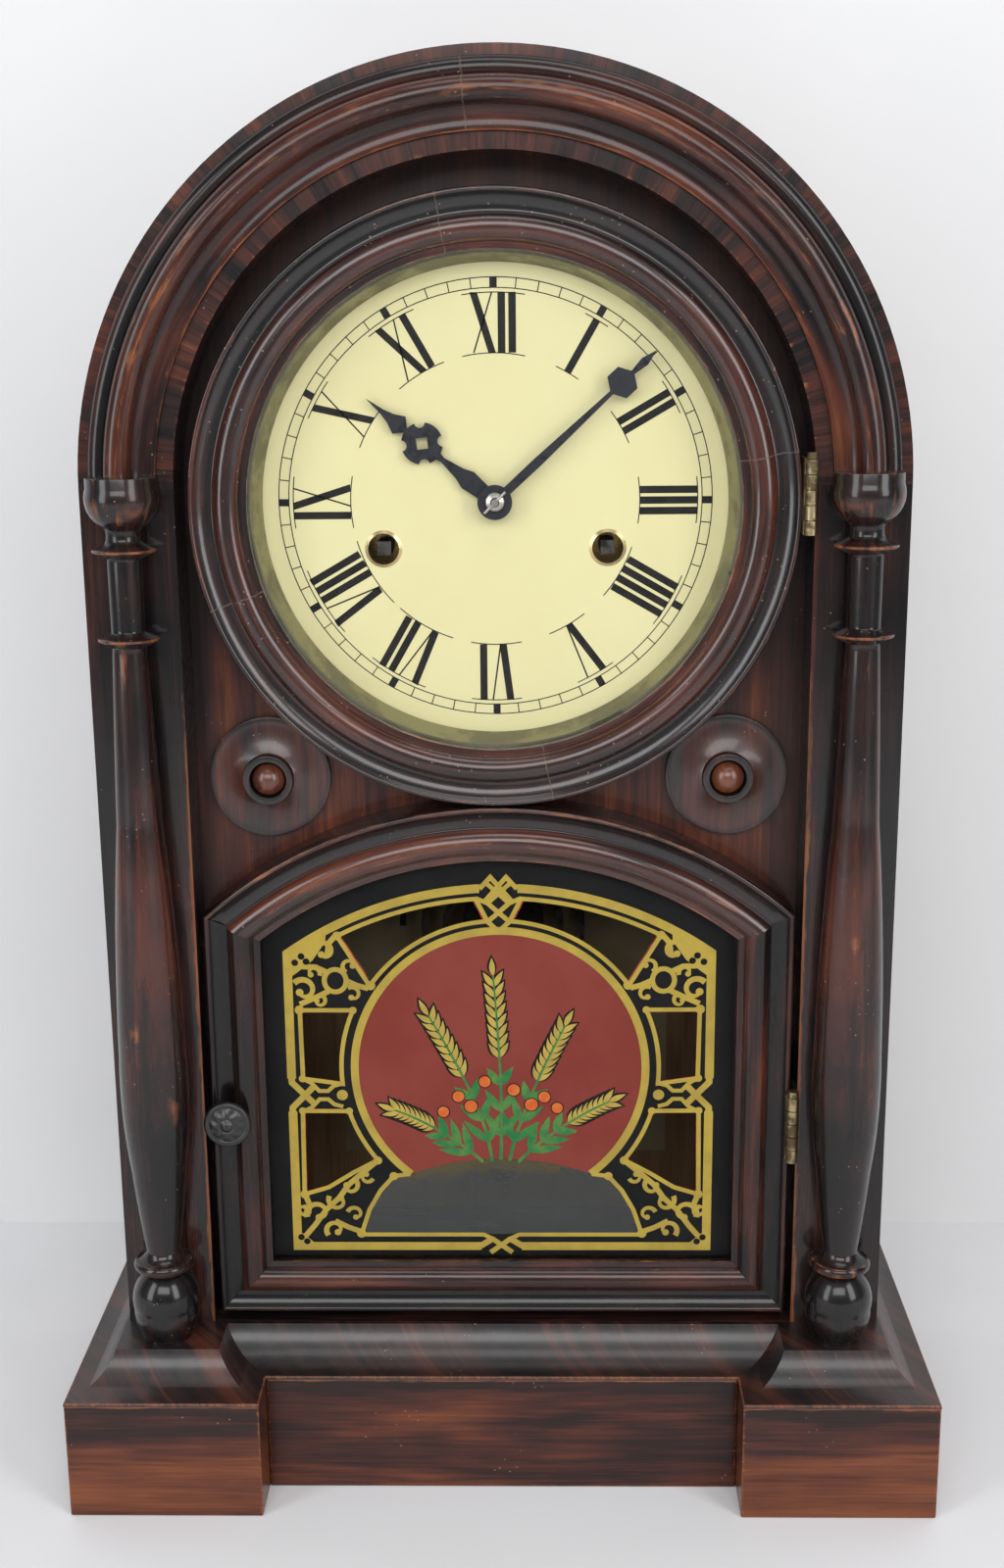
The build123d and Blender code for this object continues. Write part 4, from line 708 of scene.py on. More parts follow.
def trace(start: Pair, steps: Sequence[Step], pitch: float = 0.6, ease: float = 0.35,
          edge_wear: float = 0.45) -> list[Mark]:
    """Draws the section of a moulding.

    Args:
        start: Offset and height where it starts.
        steps: Its runs, in order.
        pitch: About how far apart the points of a bulge are.
        ease: How far the corners are rubbed back.
        edge_wear: Extra wear on the corners that stand out.

    Returns:
        The points of the section.
    """
    line = [(*start, steps[0].wear, steps[0].tone)]
    for before, step in zip((steps[0],) + tuple(steps), steps):
        for offset, height, share in arc_points(line[-1][:2], (step.offset, step.height), step.rise, pitch):
            wear = before.wear + (step.wear - before.wear) * share + step.crest * math.sin(math.pi * share)
            line.append((offset, height, wear, step.tone))
    eased = [line[0]]
    for before, here, after in zip(line, line[1:], line[2:]):
        back = (here[0] - before[0], here[1] - before[1])
        on = (after[0] - here[0], after[1] - here[1])
        turn = math.atan2(back[0] * on[1] - back[1] * on[0], back[0] * on[0] + back[1] * on[1])
        if abs(turn) < 0.45:
            eased.append(here)
            continue
        cut_back, cut_on = min(ease / math.hypot(*back), 0.45), min(ease / math.hypot(*on), 0.45)
        first = (here[0] - back[0] * cut_back, here[1] - back[1] * cut_back)
        last = (here[0] + on[0] * cut_on, here[1] + on[1] * cut_on)
        rubbed = here[2] + (edge_wear if turn < 0 else 0.0)
        middle = tuple(here[i] / 2 + (first[i] + last[i]) / 4 for i in (0, 1))
        tone = here[3]
        eased += [(*first, rubbed * 0.6, tone), (*middle, rubbed, tone), (*last, rubbed * 0.6, tone)]
    eased.append(line[-1])
    marks, girth = [], 0.0
    for index, (offset, height, wear, tone) in enumerate(eased):
        if index:
            girth += math.hypot(offset - eased[index - 1][0], height - eased[index - 1][1])
        marks.append(Mark(offset, height, wear, tone, girth))
    return marks


class Carving:
    """A mesh being shaped, with the layers that its finish reads."""

    def __init__(self, name: str) -> None:
        """Starts an empty piece.

        Args:
            name: Its name.
        """
        self.name = name
        self.points: list[Vector] = []
        self.wear: list[float] = []
        self.tone: list[float] = []
        self.grain: list[Vector] = []
        self.faces: list[tuple[int, ...]] = []

    def point(self, spot: Spot, wear: float = 0.0, tone: float = 0.0,
              grain: Optional[Vector] = None) -> int:
        """Adds a point.

        Args:
            spot: Its place in millimetres.
            wear: How far the polish is rubbed away there.
            tone: How brown it is there.
            grain: Its place in the grain, in metres.

        Returns:
            The number of the point.
        """
        place = Vector(spot) * MM
        self.points.append(place)
        self.wear.append(wear)
        self.tone.append(tone)
        self.grain.append(place if grain is None else grain)
        return len(self.points) - 1

    def bridge(self, first: Sequence[int], second: Sequence[int], closed: bool) -> None:
        """Joins two rows of points with faces.

        Args:
            first: One row.
            second: The other, of the same length.
            closed: Whether the rows run round to their start.
        """
        count = len(first)
        for index in range(count if closed else count - 1):
            after = (index + 1) % count
            self.faces.append((first[index], first[after], second[after], second[index]))

    def sweep(self, stations: Sequence[Station], tracks: Sequence[Pair], marks: Sequence[Mark],
              lay: Callable[[Pair, float], Spot], closed: bool = False,
              solid: bool = True) -> list[list[int]]:
        """Runs a section along a line.

        Args:
            stations: For each place on the line, what turns an offset into a point of the plane.
            tracks: The two parts of the grain along the line, in metres, for each place.
            marks: The section.
            lay: Turns a point of the plane and a height into a place.
            closed: Whether the line runs round to its start.
            solid: Whether the section closes on itself and the ends are capped.

        Returns:
            The rows of points.
        """
        rows = []
        for station, track in zip(stations, tracks):
            rows.append([
                self.point(lay(station(mark.offset), mark.height), mark.wear, mark.tone,
                           Vector((*track, mark.girth * MM)))
                for mark in marks
            ])
        for first, second in zip(rows, rows[1:]):
            self.bridge(first, second, solid)
        if closed:
            self.bridge(rows[-1], rows[0], solid)
        elif solid:
            self.faces += [tuple(rows[0]), tuple(rows[-1])]
        return rows

    def slab(self, outline: Sequence[Pair], y_from: float, y_to: float) -> None:
        """Adds a flat plate.

        Args:
            outline: Its corners in X and Z.
            y_from: Its front.
            y_to: Its back.
        """
        front = [self.point((x, y_from, z)) for x, z in outline]
        back = [self.point((x, y_to, z)) for x, z in outline]
        self.bridge(front, back, True)
        self.faces += [tuple(front), tuple(back)]

    def ribbon(self, path: Sequence[Pair], widths: Union[float, Sequence[float]], y_from: float,
               y_to: float, closed: bool = False) -> None:
        """Adds a flat line.

        Args:
            path: Its middle in X and Z.
            widths: Its width, or one for each point.
            y_from: Its front.
            y_to: Its back.
            closed: Whether it runs round to its start.
        """
        count = len(path)
        sizes = [widths] * count if isinstance(widths, (int, float)) else list(widths)
        rows = []
        for index, (x, z) in enumerate(path):
            before = path[index - 1] if index or closed else path[index]
            after = path[(index + 1) % count] if index < count - 1 or closed else path[index]
            into = Vector((x - before[0], z - before[1]))
            out = Vector((after[0] - x, after[1] - z))
            heading = (into.normalized() + out.normalized()).normalized()
            lean = max(0.5, heading.dot(out.normalized() if out.length else into.normalized()))
            side = Vector((-heading.y, heading.x)) * sizes[index] / 2 / lean
            near, far = (x + side.x, z + side.y), (x - side.x, z - side.y)
            corners = ((near, y_from), (far, y_from), (far, y_to), (near, y_to))
            rows.append([self.point((at[0], y, at[1])) for at, y in corners])
        for first, second in zip(rows, rows[1:]):
            self.bridge(first, second, True)
        if closed:
            self.bridge(rows[-1], rows[0], True)
        else:
            self.faces += [tuple(rows[0]), tuple(rows[-1])]

    def disc(self, x: float, z: float, radius: float, y_from: float, y_to: float) -> None:
        """Adds a flat round plate."""
        self.slab([(x + radius * math.cos(t * math.tau / 24), z + radius * math.sin(t * math.tau / 24))
                   for t in range(24)], y_from, y_to)

    def make(self, material: bpy.types.Material, body: str, slot: str, replaces: Sequence[str] = (),
             crease: float = 38.0) -> bpy.types.Object:
        """Turns the points and faces into a piece of the clock.

        Args:
            material: Its finish.
            body: The body that it rides on.
            slot: The record's slot of its finish; not used.
            replaces: The nodes that it stands for.
            crease: Edges sharper than this many degrees stay sharp.

        Returns:
            The piece.
        """
        mesh = bpy.data.meshes.new(self.name)
        mesh.from_pydata(self.points, [], self.faces)
        for name, kind, key, values in (
            ("wear", "FLOAT", "value", self.wear),
            ("tone", "FLOAT", "value", self.tone),
            ("grain", "FLOAT_VECTOR", "vector", [part for vector in self.grain for part in vector]),
        ):
            mesh.attributes.new(name, kind, "POINT").data.foreach_set(key, values)
        work = bmesh.new()
        work.from_mesh(mesh)
        bmesh.ops.remove_doubles(work, verts=work.verts, dist=1e-7)
        bmesh.ops.dissolve_degenerate(work, edges=work.edges, dist=1e-7)
        bmesh.ops.recalc_face_normals(work, faces=work.faces)
        work.to_mesh(mesh)
        work.free()
        mesh.polygons.foreach_set("use_smooth", [True] * len(mesh.polygons))
        mesh.set_sharp_from_angle(angle=math.radians(crease))
        mesh.materials.append(material)
        piece = bpy.data.objects.new(self.name, mesh)
        bpy.context.scene.collection.objects.link(piece)
        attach(piece, body)
        if replaces:
            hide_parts(*replaces)
        log.info("%s rides on %s, %d faces", self.name, body, len(mesh.polygons))
        return piece


def front_plane(base_y: float) -> Callable[[Pair, float], Spot]:
    """Lays a section on an upright plane, standing out towards the front."""
    return lambda spot, height: (spot[0], base_y - height, spot[1])


def round_stations(x: float, z: float, radius: float, count: int) -> tuple[list[Station], list[Pair]]:
    """Stations of a full circle.

    Args:
        x: Middle of the circle.
        z: Middle of the circle.
        radius: Where the offset is zero.
        count: Number of stations.

    Returns:
        The stations and the grain at each.
    """
    turns = [math.tau * index / count for index in range(count)]
    stations = [
        lambda offset, c=math.cos(t), s=math.sin(t): (x + (radius - offset) * c, z + (radius - offset) * s)
        for t in turns
    ]
    return stations, [(radius * math.cos(t) * MM, radius * math.sin(t) * MM) for t in turns]


def arch_stations(z: float, radius: float, foot: Callable[[float], float], count: int
                  ) -> tuple[list[Station], list[Pair]]:
    """Stations of an arch that is cut off at both feet.

    Args:
        z: Height of its middle.
        radius: Where the offset is zero.
        foot: Turns an offset into the angle where the arch starts.
        count: Number of stations.

    Returns:
        The stations and the grain at each.
    """
    def spoke(share: float) -> Station:
        """Gives the station a share of the way round.

        Args:
            share: From 0 at the start to 1 at the end.

        Returns:
            The station.
        """
        def station(offset: float) -> Pair:
            """Turns an offset into a point.

            Args:
                offset: The distance inwards from the radius.

            Returns:
                The point in X and Z.
            """
            start = foot(offset)
            turn = start + share * (math.pi - 2 * start)
            return (radius - offset) * math.cos(turn), z + (radius - offset) * math.sin(turn)
        return station

    shares = [index / (count - 1) for index in range(count)]
    tracks = [(radius * math.cos(math.pi * s) * MM, radius * math.sin(math.pi * s) * MM) for s in shares]
    return [spoke(share) for share in shares], tracks


def dress(material: bpy.types.Material, *nodes: str) -> None:
    """Gives nodes of the frame their finish.

    Args:
        material: The finish.
        nodes: Names of the nodes.
    """
    for name in nodes:
        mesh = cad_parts[name].data
        if not mesh.materials:
            mesh.materials.append(material)
        for index in range(len(mesh.materials)):
            mesh.materials[index] = material
        log.info("%s dressed in %s", name, material.name)


# Sub-assemblies

@dataclass
class CaseBoards:
    """Veneered front, side boards, bent top and the boards inside."""

    def build(self) -> None:
        """Dresses the boards."""
        # The stiles, the arch and the panel carry painted shade where the door recess lies in shadow.
        dress(Timber("veneer_face_stiles", Layout.UPRIGHT, Edge.STILE, tone=0.46, specks=0.5).make(),
              "face_stiles")
        dress(Timber("veneer_face_arch", Layout.CROSS_ARCH, Edge.ARCH, tone=0.60, gloss=0.3).make(),
              "face_arch")
        dress(Timber("veneer_panel", Layout.UPRIGHT, Edge.FIELD, tone=0.84, gloss=0.36, coat=0.2).make(),
              "dial_panel")
        dress(Timber("veneer_sides", Layout.UPRIGHT, tone=0.6, gloss=0.36, coat=0.2).make(), "case_sides")
        dress(Timber("veneer_top", Layout.CROSS_ARCH, tone=0.6).make(), "arch_top")
        dress(Timber("stained_floor", Layout.LENGTHWISE, tone=0.45, coat=0.1).make(), "case_floor")
        dress(Softwood("pine_back", Layout.UPRIGHT).make(), "back_board")
        dress(Softwood("walnut_rails", Layout.UPRIGHT, (0.16, 0.09, 0.05), (0.07, 0.035, 0.02)).make(),
              "mount_rails")
        dress(Paint("aged_paper", (0.31, 0.25, 0.15), (0.22, 0.16, 0.08), 25, 0.8, chips=0.06,
                    chip_colour=(0.18, 0.11, 0.05)).make(), "paper_label")


@dataclass
class ArchMoulding:
    """Bead, roll, cove and fillet round the arch."""

    radius: float = 126.0
    foot_rise: float = 4.5
    stations: int = 150

    def section(self) -> list[Mark]:
        """Draws its section from the outer edge inwards.

        Returns:
            The marks of the section.
        """
        return trace((0, 0), [
            Step(0, 1.8, wear=0.1, tone=-0.1),
            Step(6.0, 3.4, 1.6, wear=-0.2, crest=0.1, tone=-0.16),
            Step(13.6, 3.4, 6.0, wear=-0.22, crest=0.56, tone=0.15),
            Step(19.2, 1.6, -0.8, wear=-0.1, tone=0.16),
            Step(21.0, 1.6, wear=0.28, tone=0.2),
            Step(21.0, 0, wear=0.2, tone=0.1),
        ])

    def build(self) -> None:
        """Makes the moulding."""
        finish = Timber("ebonised_arch", tone=0.47, specks=0.8, coat=0.34, seams=(94.0,),
                        seam_z=AT.arch_z).make()
        stations, tracks = arch_stations(AT.arch_z, self.radius,
                                         lambda offset: math.asin(self.foot_rise / (self.radius - offset)),
                                         self.stations)
        piece = Carving("arch_moulding_turned")
        piece.sweep(stations, tracks, self.section(), front_plane(AT.face_y))
        piece.make(finish, "case", "ebonised", ["arch_moulding"])


@dataclass(frozen=True)
class Chip:
    """A rubbed spot of a column: its side, height and bearing, and how far it reaches up and round."""

    side: int
    z: float
    bearing: float
    tall: float
    wide: float

    def wear(self, side: int, z: float, bearing: float) -> float:
        """Gives the wear that the chip brings to a place.

        Args:
            side: The column's side.
            z: The height of the place.
            bearing: Its angle round the column in degrees.

        Returns:
            The wear.
        """
        if side != self.side:
            return 0.0
        away = ((z - self.z) / self.tall) ** 2 + ((bearing - self.bearing) / self.wide) ** 2
        return 0.3 * max(0.0, 1.0 - away)


@dataclass
class Columns:
    """Two turned columns, planed flat where they are glued on."""

    x: float = 114.65
    y: float = -36.5
    spokes: int = 72
    chips: tuple[Chip, ...] = (
        Chip(-1, 288.0, -98.0, 9.0, 14.0), Chip(-1, 226.0, -92.0, 5.0, 9.0),
        Chip(-1, 207.0, -85.0, 4.0, 9.0), Chip(-1, 139.0, -48.0, 13.0, 20.0),
        Chip(-1, 166.0, -110.0, 5.0, 12.0), Chip(-1, 60.0, -85.0, 4.0, 14.0),
        Chip(1, 214.0, -98.0, 5.0, 9.0), Chip(1, 197.0, -92.0, 7.0, 12.0),
        Chip(1, 176.0, -88.0, 6.0, 10.0), Chip(1, 314.0, -70.0, 3.0, 12.0),
        Chip(-1, 331.0, -80.0, 3.0, 12.0), Chip(1, 120.0, -120.0, 4.0, 9.0),
    )

    def section(self) -> list[Mark]:
        """Draws a column from its cup down: offset is the depth below 345 mm.

        Returns:
            The marks of the section.
        """
        return trace((0, 0), [
            Step(0, 10.8, tone=0.1),
            Step(3.2, 10.8, wear=0.15, tone=0.12),
            Step(15.2, 6.3, 2.3, wear=0.0, crest=0.3, tone=0.12),
            Step(18.0, 5.4, -0.35, tone=-0.1),
            Step(20.6, 6.8, -0.5, tone=-0.1),
            Step(21.9, 9.6, -0.1, wear=0.35, tone=0.1),
            Step(22.9, 9.6, 0.35, wear=0.35, tone=0.15),
            Step(24.8, 5.5, wear=0.0, tone=-0.1),
            Step(47.8, 5.4, 0.01, tone=-0.16),
            Step(49.6, 9.2, -0.1, wear=0.25, tone=0.1),
            Step(50.6, 9.2, 0.35, wear=0.35, tone=0.2),
            Step(52.6, 5.4, wear=0.2, tone=0.1),
            Step(110.0, 7.4, 0.1, wear=0.1, tone=0.10),
            Step(189.0, 11.0, 0.7, wear=0.14, tone=0.15),
            Step(230.0, 9.1, 0.9, wear=0.12, tone=0.06),
            Step(259.4, 5.8, 0.2, tone=0.0),
            Step(262.6, 9.4, -0.6, wear=0.1, tone=0.05),
            Step(265.6, 9.6, 0.7, wear=0.4, tone=0.1),
            Step(267.0, 6.4, -0.3, tone=-0.1),
            Step(280.5, 11.0, 2.0, tone=-0.16),
            Step(290.2, 8.6, 0.8, wear=0.1, tone=-0.1),
            Step(291.2, 8.6, tone=-0.1),
            Step(291.2, 0, tone=-0.1),
        ], pitch=0.9, ease=0.25)

    def build(self) -> None:
        """Turns both columns."""
        finish = Timber("ebonised_columns", tone=0.27, specks=1.0).make()
        for side, name in ((-1, "column_left"), (1, "column_right")):
            piece = Carving(name + "_turned")
            rows = []
            for mark in self.section():
                row = []
                for index in range(self.spokes):
                    turn = math.tau * index / self.spokes
                    x, y = self.x + mark.height * math.cos(turn), self.y + mark.height * math.sin(turn)
                    z = AT.arch_z + 4.5 - mark.offset
                    bearing = math.degrees(math.atan2(y - self.y, side * (x - self.x)))
                    wear = mark.wear + sum(chip.wear(side, z, bearing) for chip in self.chips)
                    curl = Vector((z * MM, 0.003 * side, 0.0065 * math.sin(turn) + 0.004 * math.cos(turn)))
                    row.append(piece.point((side * x, min(y, AT.face_y), z), wear, mark.tone, curl))
                rows.append(row)
            for first, second in zip(rows, rows[1:]):
                piece.bridge(first, second, True)
            piece.make(finish, "case", "ebonised", [name])


@dataclass
class Roundels:
    """Two turned bosses in the lower corners of the dial's field."""

    x: float = 75.6
    z: float = 244.64
    radius: float = 20.2

    def build(self) -> None:
        """Turns both bosses."""
        marks = trace((0, 0), [
            Step(0, 2.2, wear=0.1, tone=-0.1),
            Step(1.4, 2.2, wear=0.05, tone=-0.15),
            Step(12.0, 4.6, -0.7, wear=0.1, tone=0.12),
            Step(12.0, 7.2, tone=-0.2),
            Step(14.1, 7.2, tone=-0.25),
            Step(14.7, 4.3, tone=-0.2),
            Step(20.2, 9.8, 1.61, crest=0.35, tone=0.5),
            Step(20.2, 0),
        ], pitch=0.5, ease=0.3, edge_wear=0.3)
        finish = Timber("turned_roundels", tone=0.56, specks=0.5, gloss=0.32, coat=0.25, shine=0.6).make()
        piece = Carving("roundels_turned")
        for side in (-1, 1):
            stations, tracks = round_stations(side * self.x, self.z, self.radius, 72)
            tracks = [(self.z * MM, 0.0)] * len(tracks)
            start = len(piece.points)
            piece.sweep(stations, tracks, marks, front_plane(AT.panel_y), closed=True)
            for index in range(start, len(piece.points)):
                place = piece.points[index]
                piece.grain[index] = Vector((place.z, 0.0, place.x + 0.6 * place.y))
        piece.make(finish, "case", "rosewood", ["roundels"])


@dataclass
class Base:
    """Two blocks and the apron between them, each with its cove."""

    ease: float = 0.7
    cove_height: float = 12.6
    cove_reach: float = 15.0
    cove_lip: float = 1.2
    apron_setback: float = 16.8
    apron_thickness: float = 16.0

    def eased_box(self, piece: Carving, low: Spot, high: Spot, shade: Callable[[Spot], float]) -> None:
        """Adds a box with rubbed edges.

        Args:
            piece: What it is added to.
            low: Its lowest corner.
            high: Its highest corner.
            shade: Turns a place into its tone.
        """
        def stops(size: float) -> list[float]:
            """Divides an edge, closer together near its ends.

            Args:
                size: The length of the edge.

            Returns:
                The places along it.
            """
            near = [0.0, 0.3 * self.ease, 0.65 * self.ease, self.ease, 1.6, 3.2]
            count = max(1, round((size - 6.4) / 9))
            middle = [3.2 + (size - 6.4) * index / count for index in range(1, count)]
            return near + middle + [size - stop for stop in reversed(near)]

        sizes = [high[axis] - low[axis] for axis in range(3)]
        for axis in range(3):
            across, up = [a for a in range(3) if a != axis]
            for end in (0.0, sizes[axis]):
                rows = []
                for first in stops(sizes[across]):
                    row = []
                    for second in stops(sizes[up]):
                        spot = [0.0, 0.0, 0.0]
                        spot[axis], spot[across], spot[up] = end, first, second
                        core = [min(max(spot[a], self.ease), sizes[a] - self.ease) for a in range(3)]
                        out = Vector([spot[a] - core[a] for a in range(3)])
                        place = Vector(core) + out.normalized() * self.ease
                        gaps = sorted(min(spot[a], sizes[a] - spot[a]) for a in range(3))
                        wear = max(0.0, 0.75 - gaps[1] / 1.7)
                        where = tuple(place[a] + low[a] for a in range(3))
                        grain = Vector((where[0], 0.0, where[2] + 0.83 * where[1])) * MM
                        row.append(piece.point(where, wear, shade(where), grain))
                    rows.append(row)
                for one, two in zip(rows, rows[1:]):
                    piece.bridge(one, two, False)

    def cove(self) -> list[Mark]:
        """Draws the cove from its foot up and inwards.

        Returns:
            The marks of the section.
        """
        sag = self.cove_reach * (math.sqrt(2) - 1) / 2
        return trace((0, 0), [
            Step(0, self.cove_lip, wear=0.2, tone=0.1),
            Step(self.cove_reach, self.cove_height - 0.02, -sag, wear=0.15, tone=-0.06),
        ], edge_wear=0.6)

    def block_cove(self, side: int, finish: bpy.types.Material) -> None:
        """Makes the cove round three sides of a block.

        Args:
            side: 1 for the right, -1 for the left.
            finish: Its material.
        """
        piece = Carving("block_cove_right" if side > 0 else "block_cove_left")
        inner = AT.base_half - AT.block_width
        stations = [
            lambda o: (side * (inner + o), AT.back_y),
            lambda o: (side * (inner + o), AT.front_y + o),
            lambda o: (side * (AT.base_half - o), AT.front_y + o),
            lambda o: (side * (AT.base_half - o), AT.back_y),
        ]
        run = (0.0, 0.125, 0.19, 0.315)
        rows = piece.sweep(stations, [(along, 0.0) for along in run], self.cove(),
                           lambda spot, height: (*spot, AT.block_height + height), solid=False)
        piece.faces += [tuple(row[0] for row in rows), tuple(row[-1] for row in rows),
                        tuple(rows[0] + rows[-1][::-1])]
        piece.make(finish, "case", "ebonised", ["base_coves"] if side > 0 else ())

    def build(self) -> None:
        """Makes the blocks, the apron and their coves."""
        wood = Timber("rosewood_base", tone=0.62, specks=0.5, gloss=0.36, coat=0.25,
                      dark=(0.014, 0.0075, 0.006)).make()
        dark = Timber("ebonised_coves", Layout.UPRIGHT, tone=0.56, specks=0.8, gloss=0.36, coat=0.15,
                      shine=0.7).make()
        blocks = Carving("base_blocks_veneered")
        inner = AT.base_half - AT.block_width
        for low_x, high_x in ((inner, AT.base_half), (-AT.base_half, -inner)):
            self.eased_box(blocks, (low_x, AT.front_y, 0.0), (high_x, AT.back_y, AT.block_height),
                           lambda spot: 0.52 - 0.62 * max(0.0, (spot[2] - 20.0) / 21.0))
        blocks.make(wood, "case", "rosewood", ["base_blocks"])
        apron = Carving("apron_veneered")
        apron_y = AT.front_y + self.apron_setback
        self.eased_box(
            apron, (-inner + 0.1, apron_y, 0.1), (inner - 0.1, apron_y + self.apron_thickness, 41.2),
            lambda spot: 0.24 - 0.34 * max(0.0, (spot[2] - 16.0) / 25.0) - 0.1 * abs(spot[0]) / inner)
        apron.make(wood, "case", "rosewood", ["apron"])
        for side in (-1, 1):
            self.block_cove(side, dark)
        reach = inner + self.cove_reach
        front = Carving("apron_cove_coped")
        rows = front.sweep([lambda o: (-reach, apron_y + o), lambda o: (reach, apron_y + o)],
                           [(0.0, 0.0), (0.19, 0.0)], self.cove(),
                           lambda spot, height: (*spot, AT.block_height + height), solid=False)
        behind = [front.point((x, AT.face_y, z)) for x, z in
                  ((-reach, AT.block_height), (-reach, AT.base_top - 0.02),
                   (reach, AT.block_height), (reach, AT.base_top - 0.02))]
        front.faces += [
            (rows[0][0], rows[1][0], behind[2], behind[0]),
            (rows[0][-1], rows[1][-1], behind[3], behind[1]),
            (behind[0], behind[1], behind[3], behind[2]),
            tuple(rows[0]) + (behind[1], behind[0]),
            tuple(rows[1]) + (behind[3], behind[2]),
        ]
        front.make(dark, "case", "ebonised")


def rail_section() -> list[Mark]:
    """Draws the door moulding from its outer edge inwards.

    Returns:
        The marks of the section.
    """
    return trace((0, 0), [
        Step(0, 16.5, wear=-0.1, tone=-0.1),
        Step(1.5, 16.7, 0.4, wear=-0.15, crest=0.1, tone=0.0),
        Step(7.4, 14.3, -0.8, wear=-0.25, tone=-0.22),
        Step(16.2, 15.0, 4.2, wear=-0.2, crest=0.42, tone=0.14),
        Step(18.4, 15.0, wear=0.1, tone=0.05),
        Step(18.4, 12.7, tone=-0.1),
        Step(14.0, 12.7),
        Step(14.0, 0),
    ])


@dataclass
class DialDoor:
    """Turned ring of the dial door with its glass and sight ring."""

    z: float = 334.2
    radius: float = 96.0

    def build(self) -> None:
        """Makes the ring and dresses the rest."""
        finish = Timber("ebonised_dial_door", tone=0.50, wear=-0.05, specks=1.4, shine=0.45,
                        seams=(100.4, -160.4, -79.0, 10.0), seam_z=self.z).make()
        stations, tracks = round_stations(0.0, self.z, self.radius, 168)
        piece = Carving("dial_door_ring_turned")
        piece.sweep(stations, tracks, rail_section(), front_plane(AT.rail_back_y), closed=True)
        piece.make(finish, "dial_door", "ebonised", ["dial_door_ring"])
        dress(Metal("sight_ring_brass", (0.335, 0.32, 0.225), (0.25, 0.24, 0.175), cover=0.6, rough=0.36,
                    scale=70).make(), "sight_ring")
        dress(Glass("dial_glass_clear", mirror=0.005, smears=0.0).make(), "dial_glass")


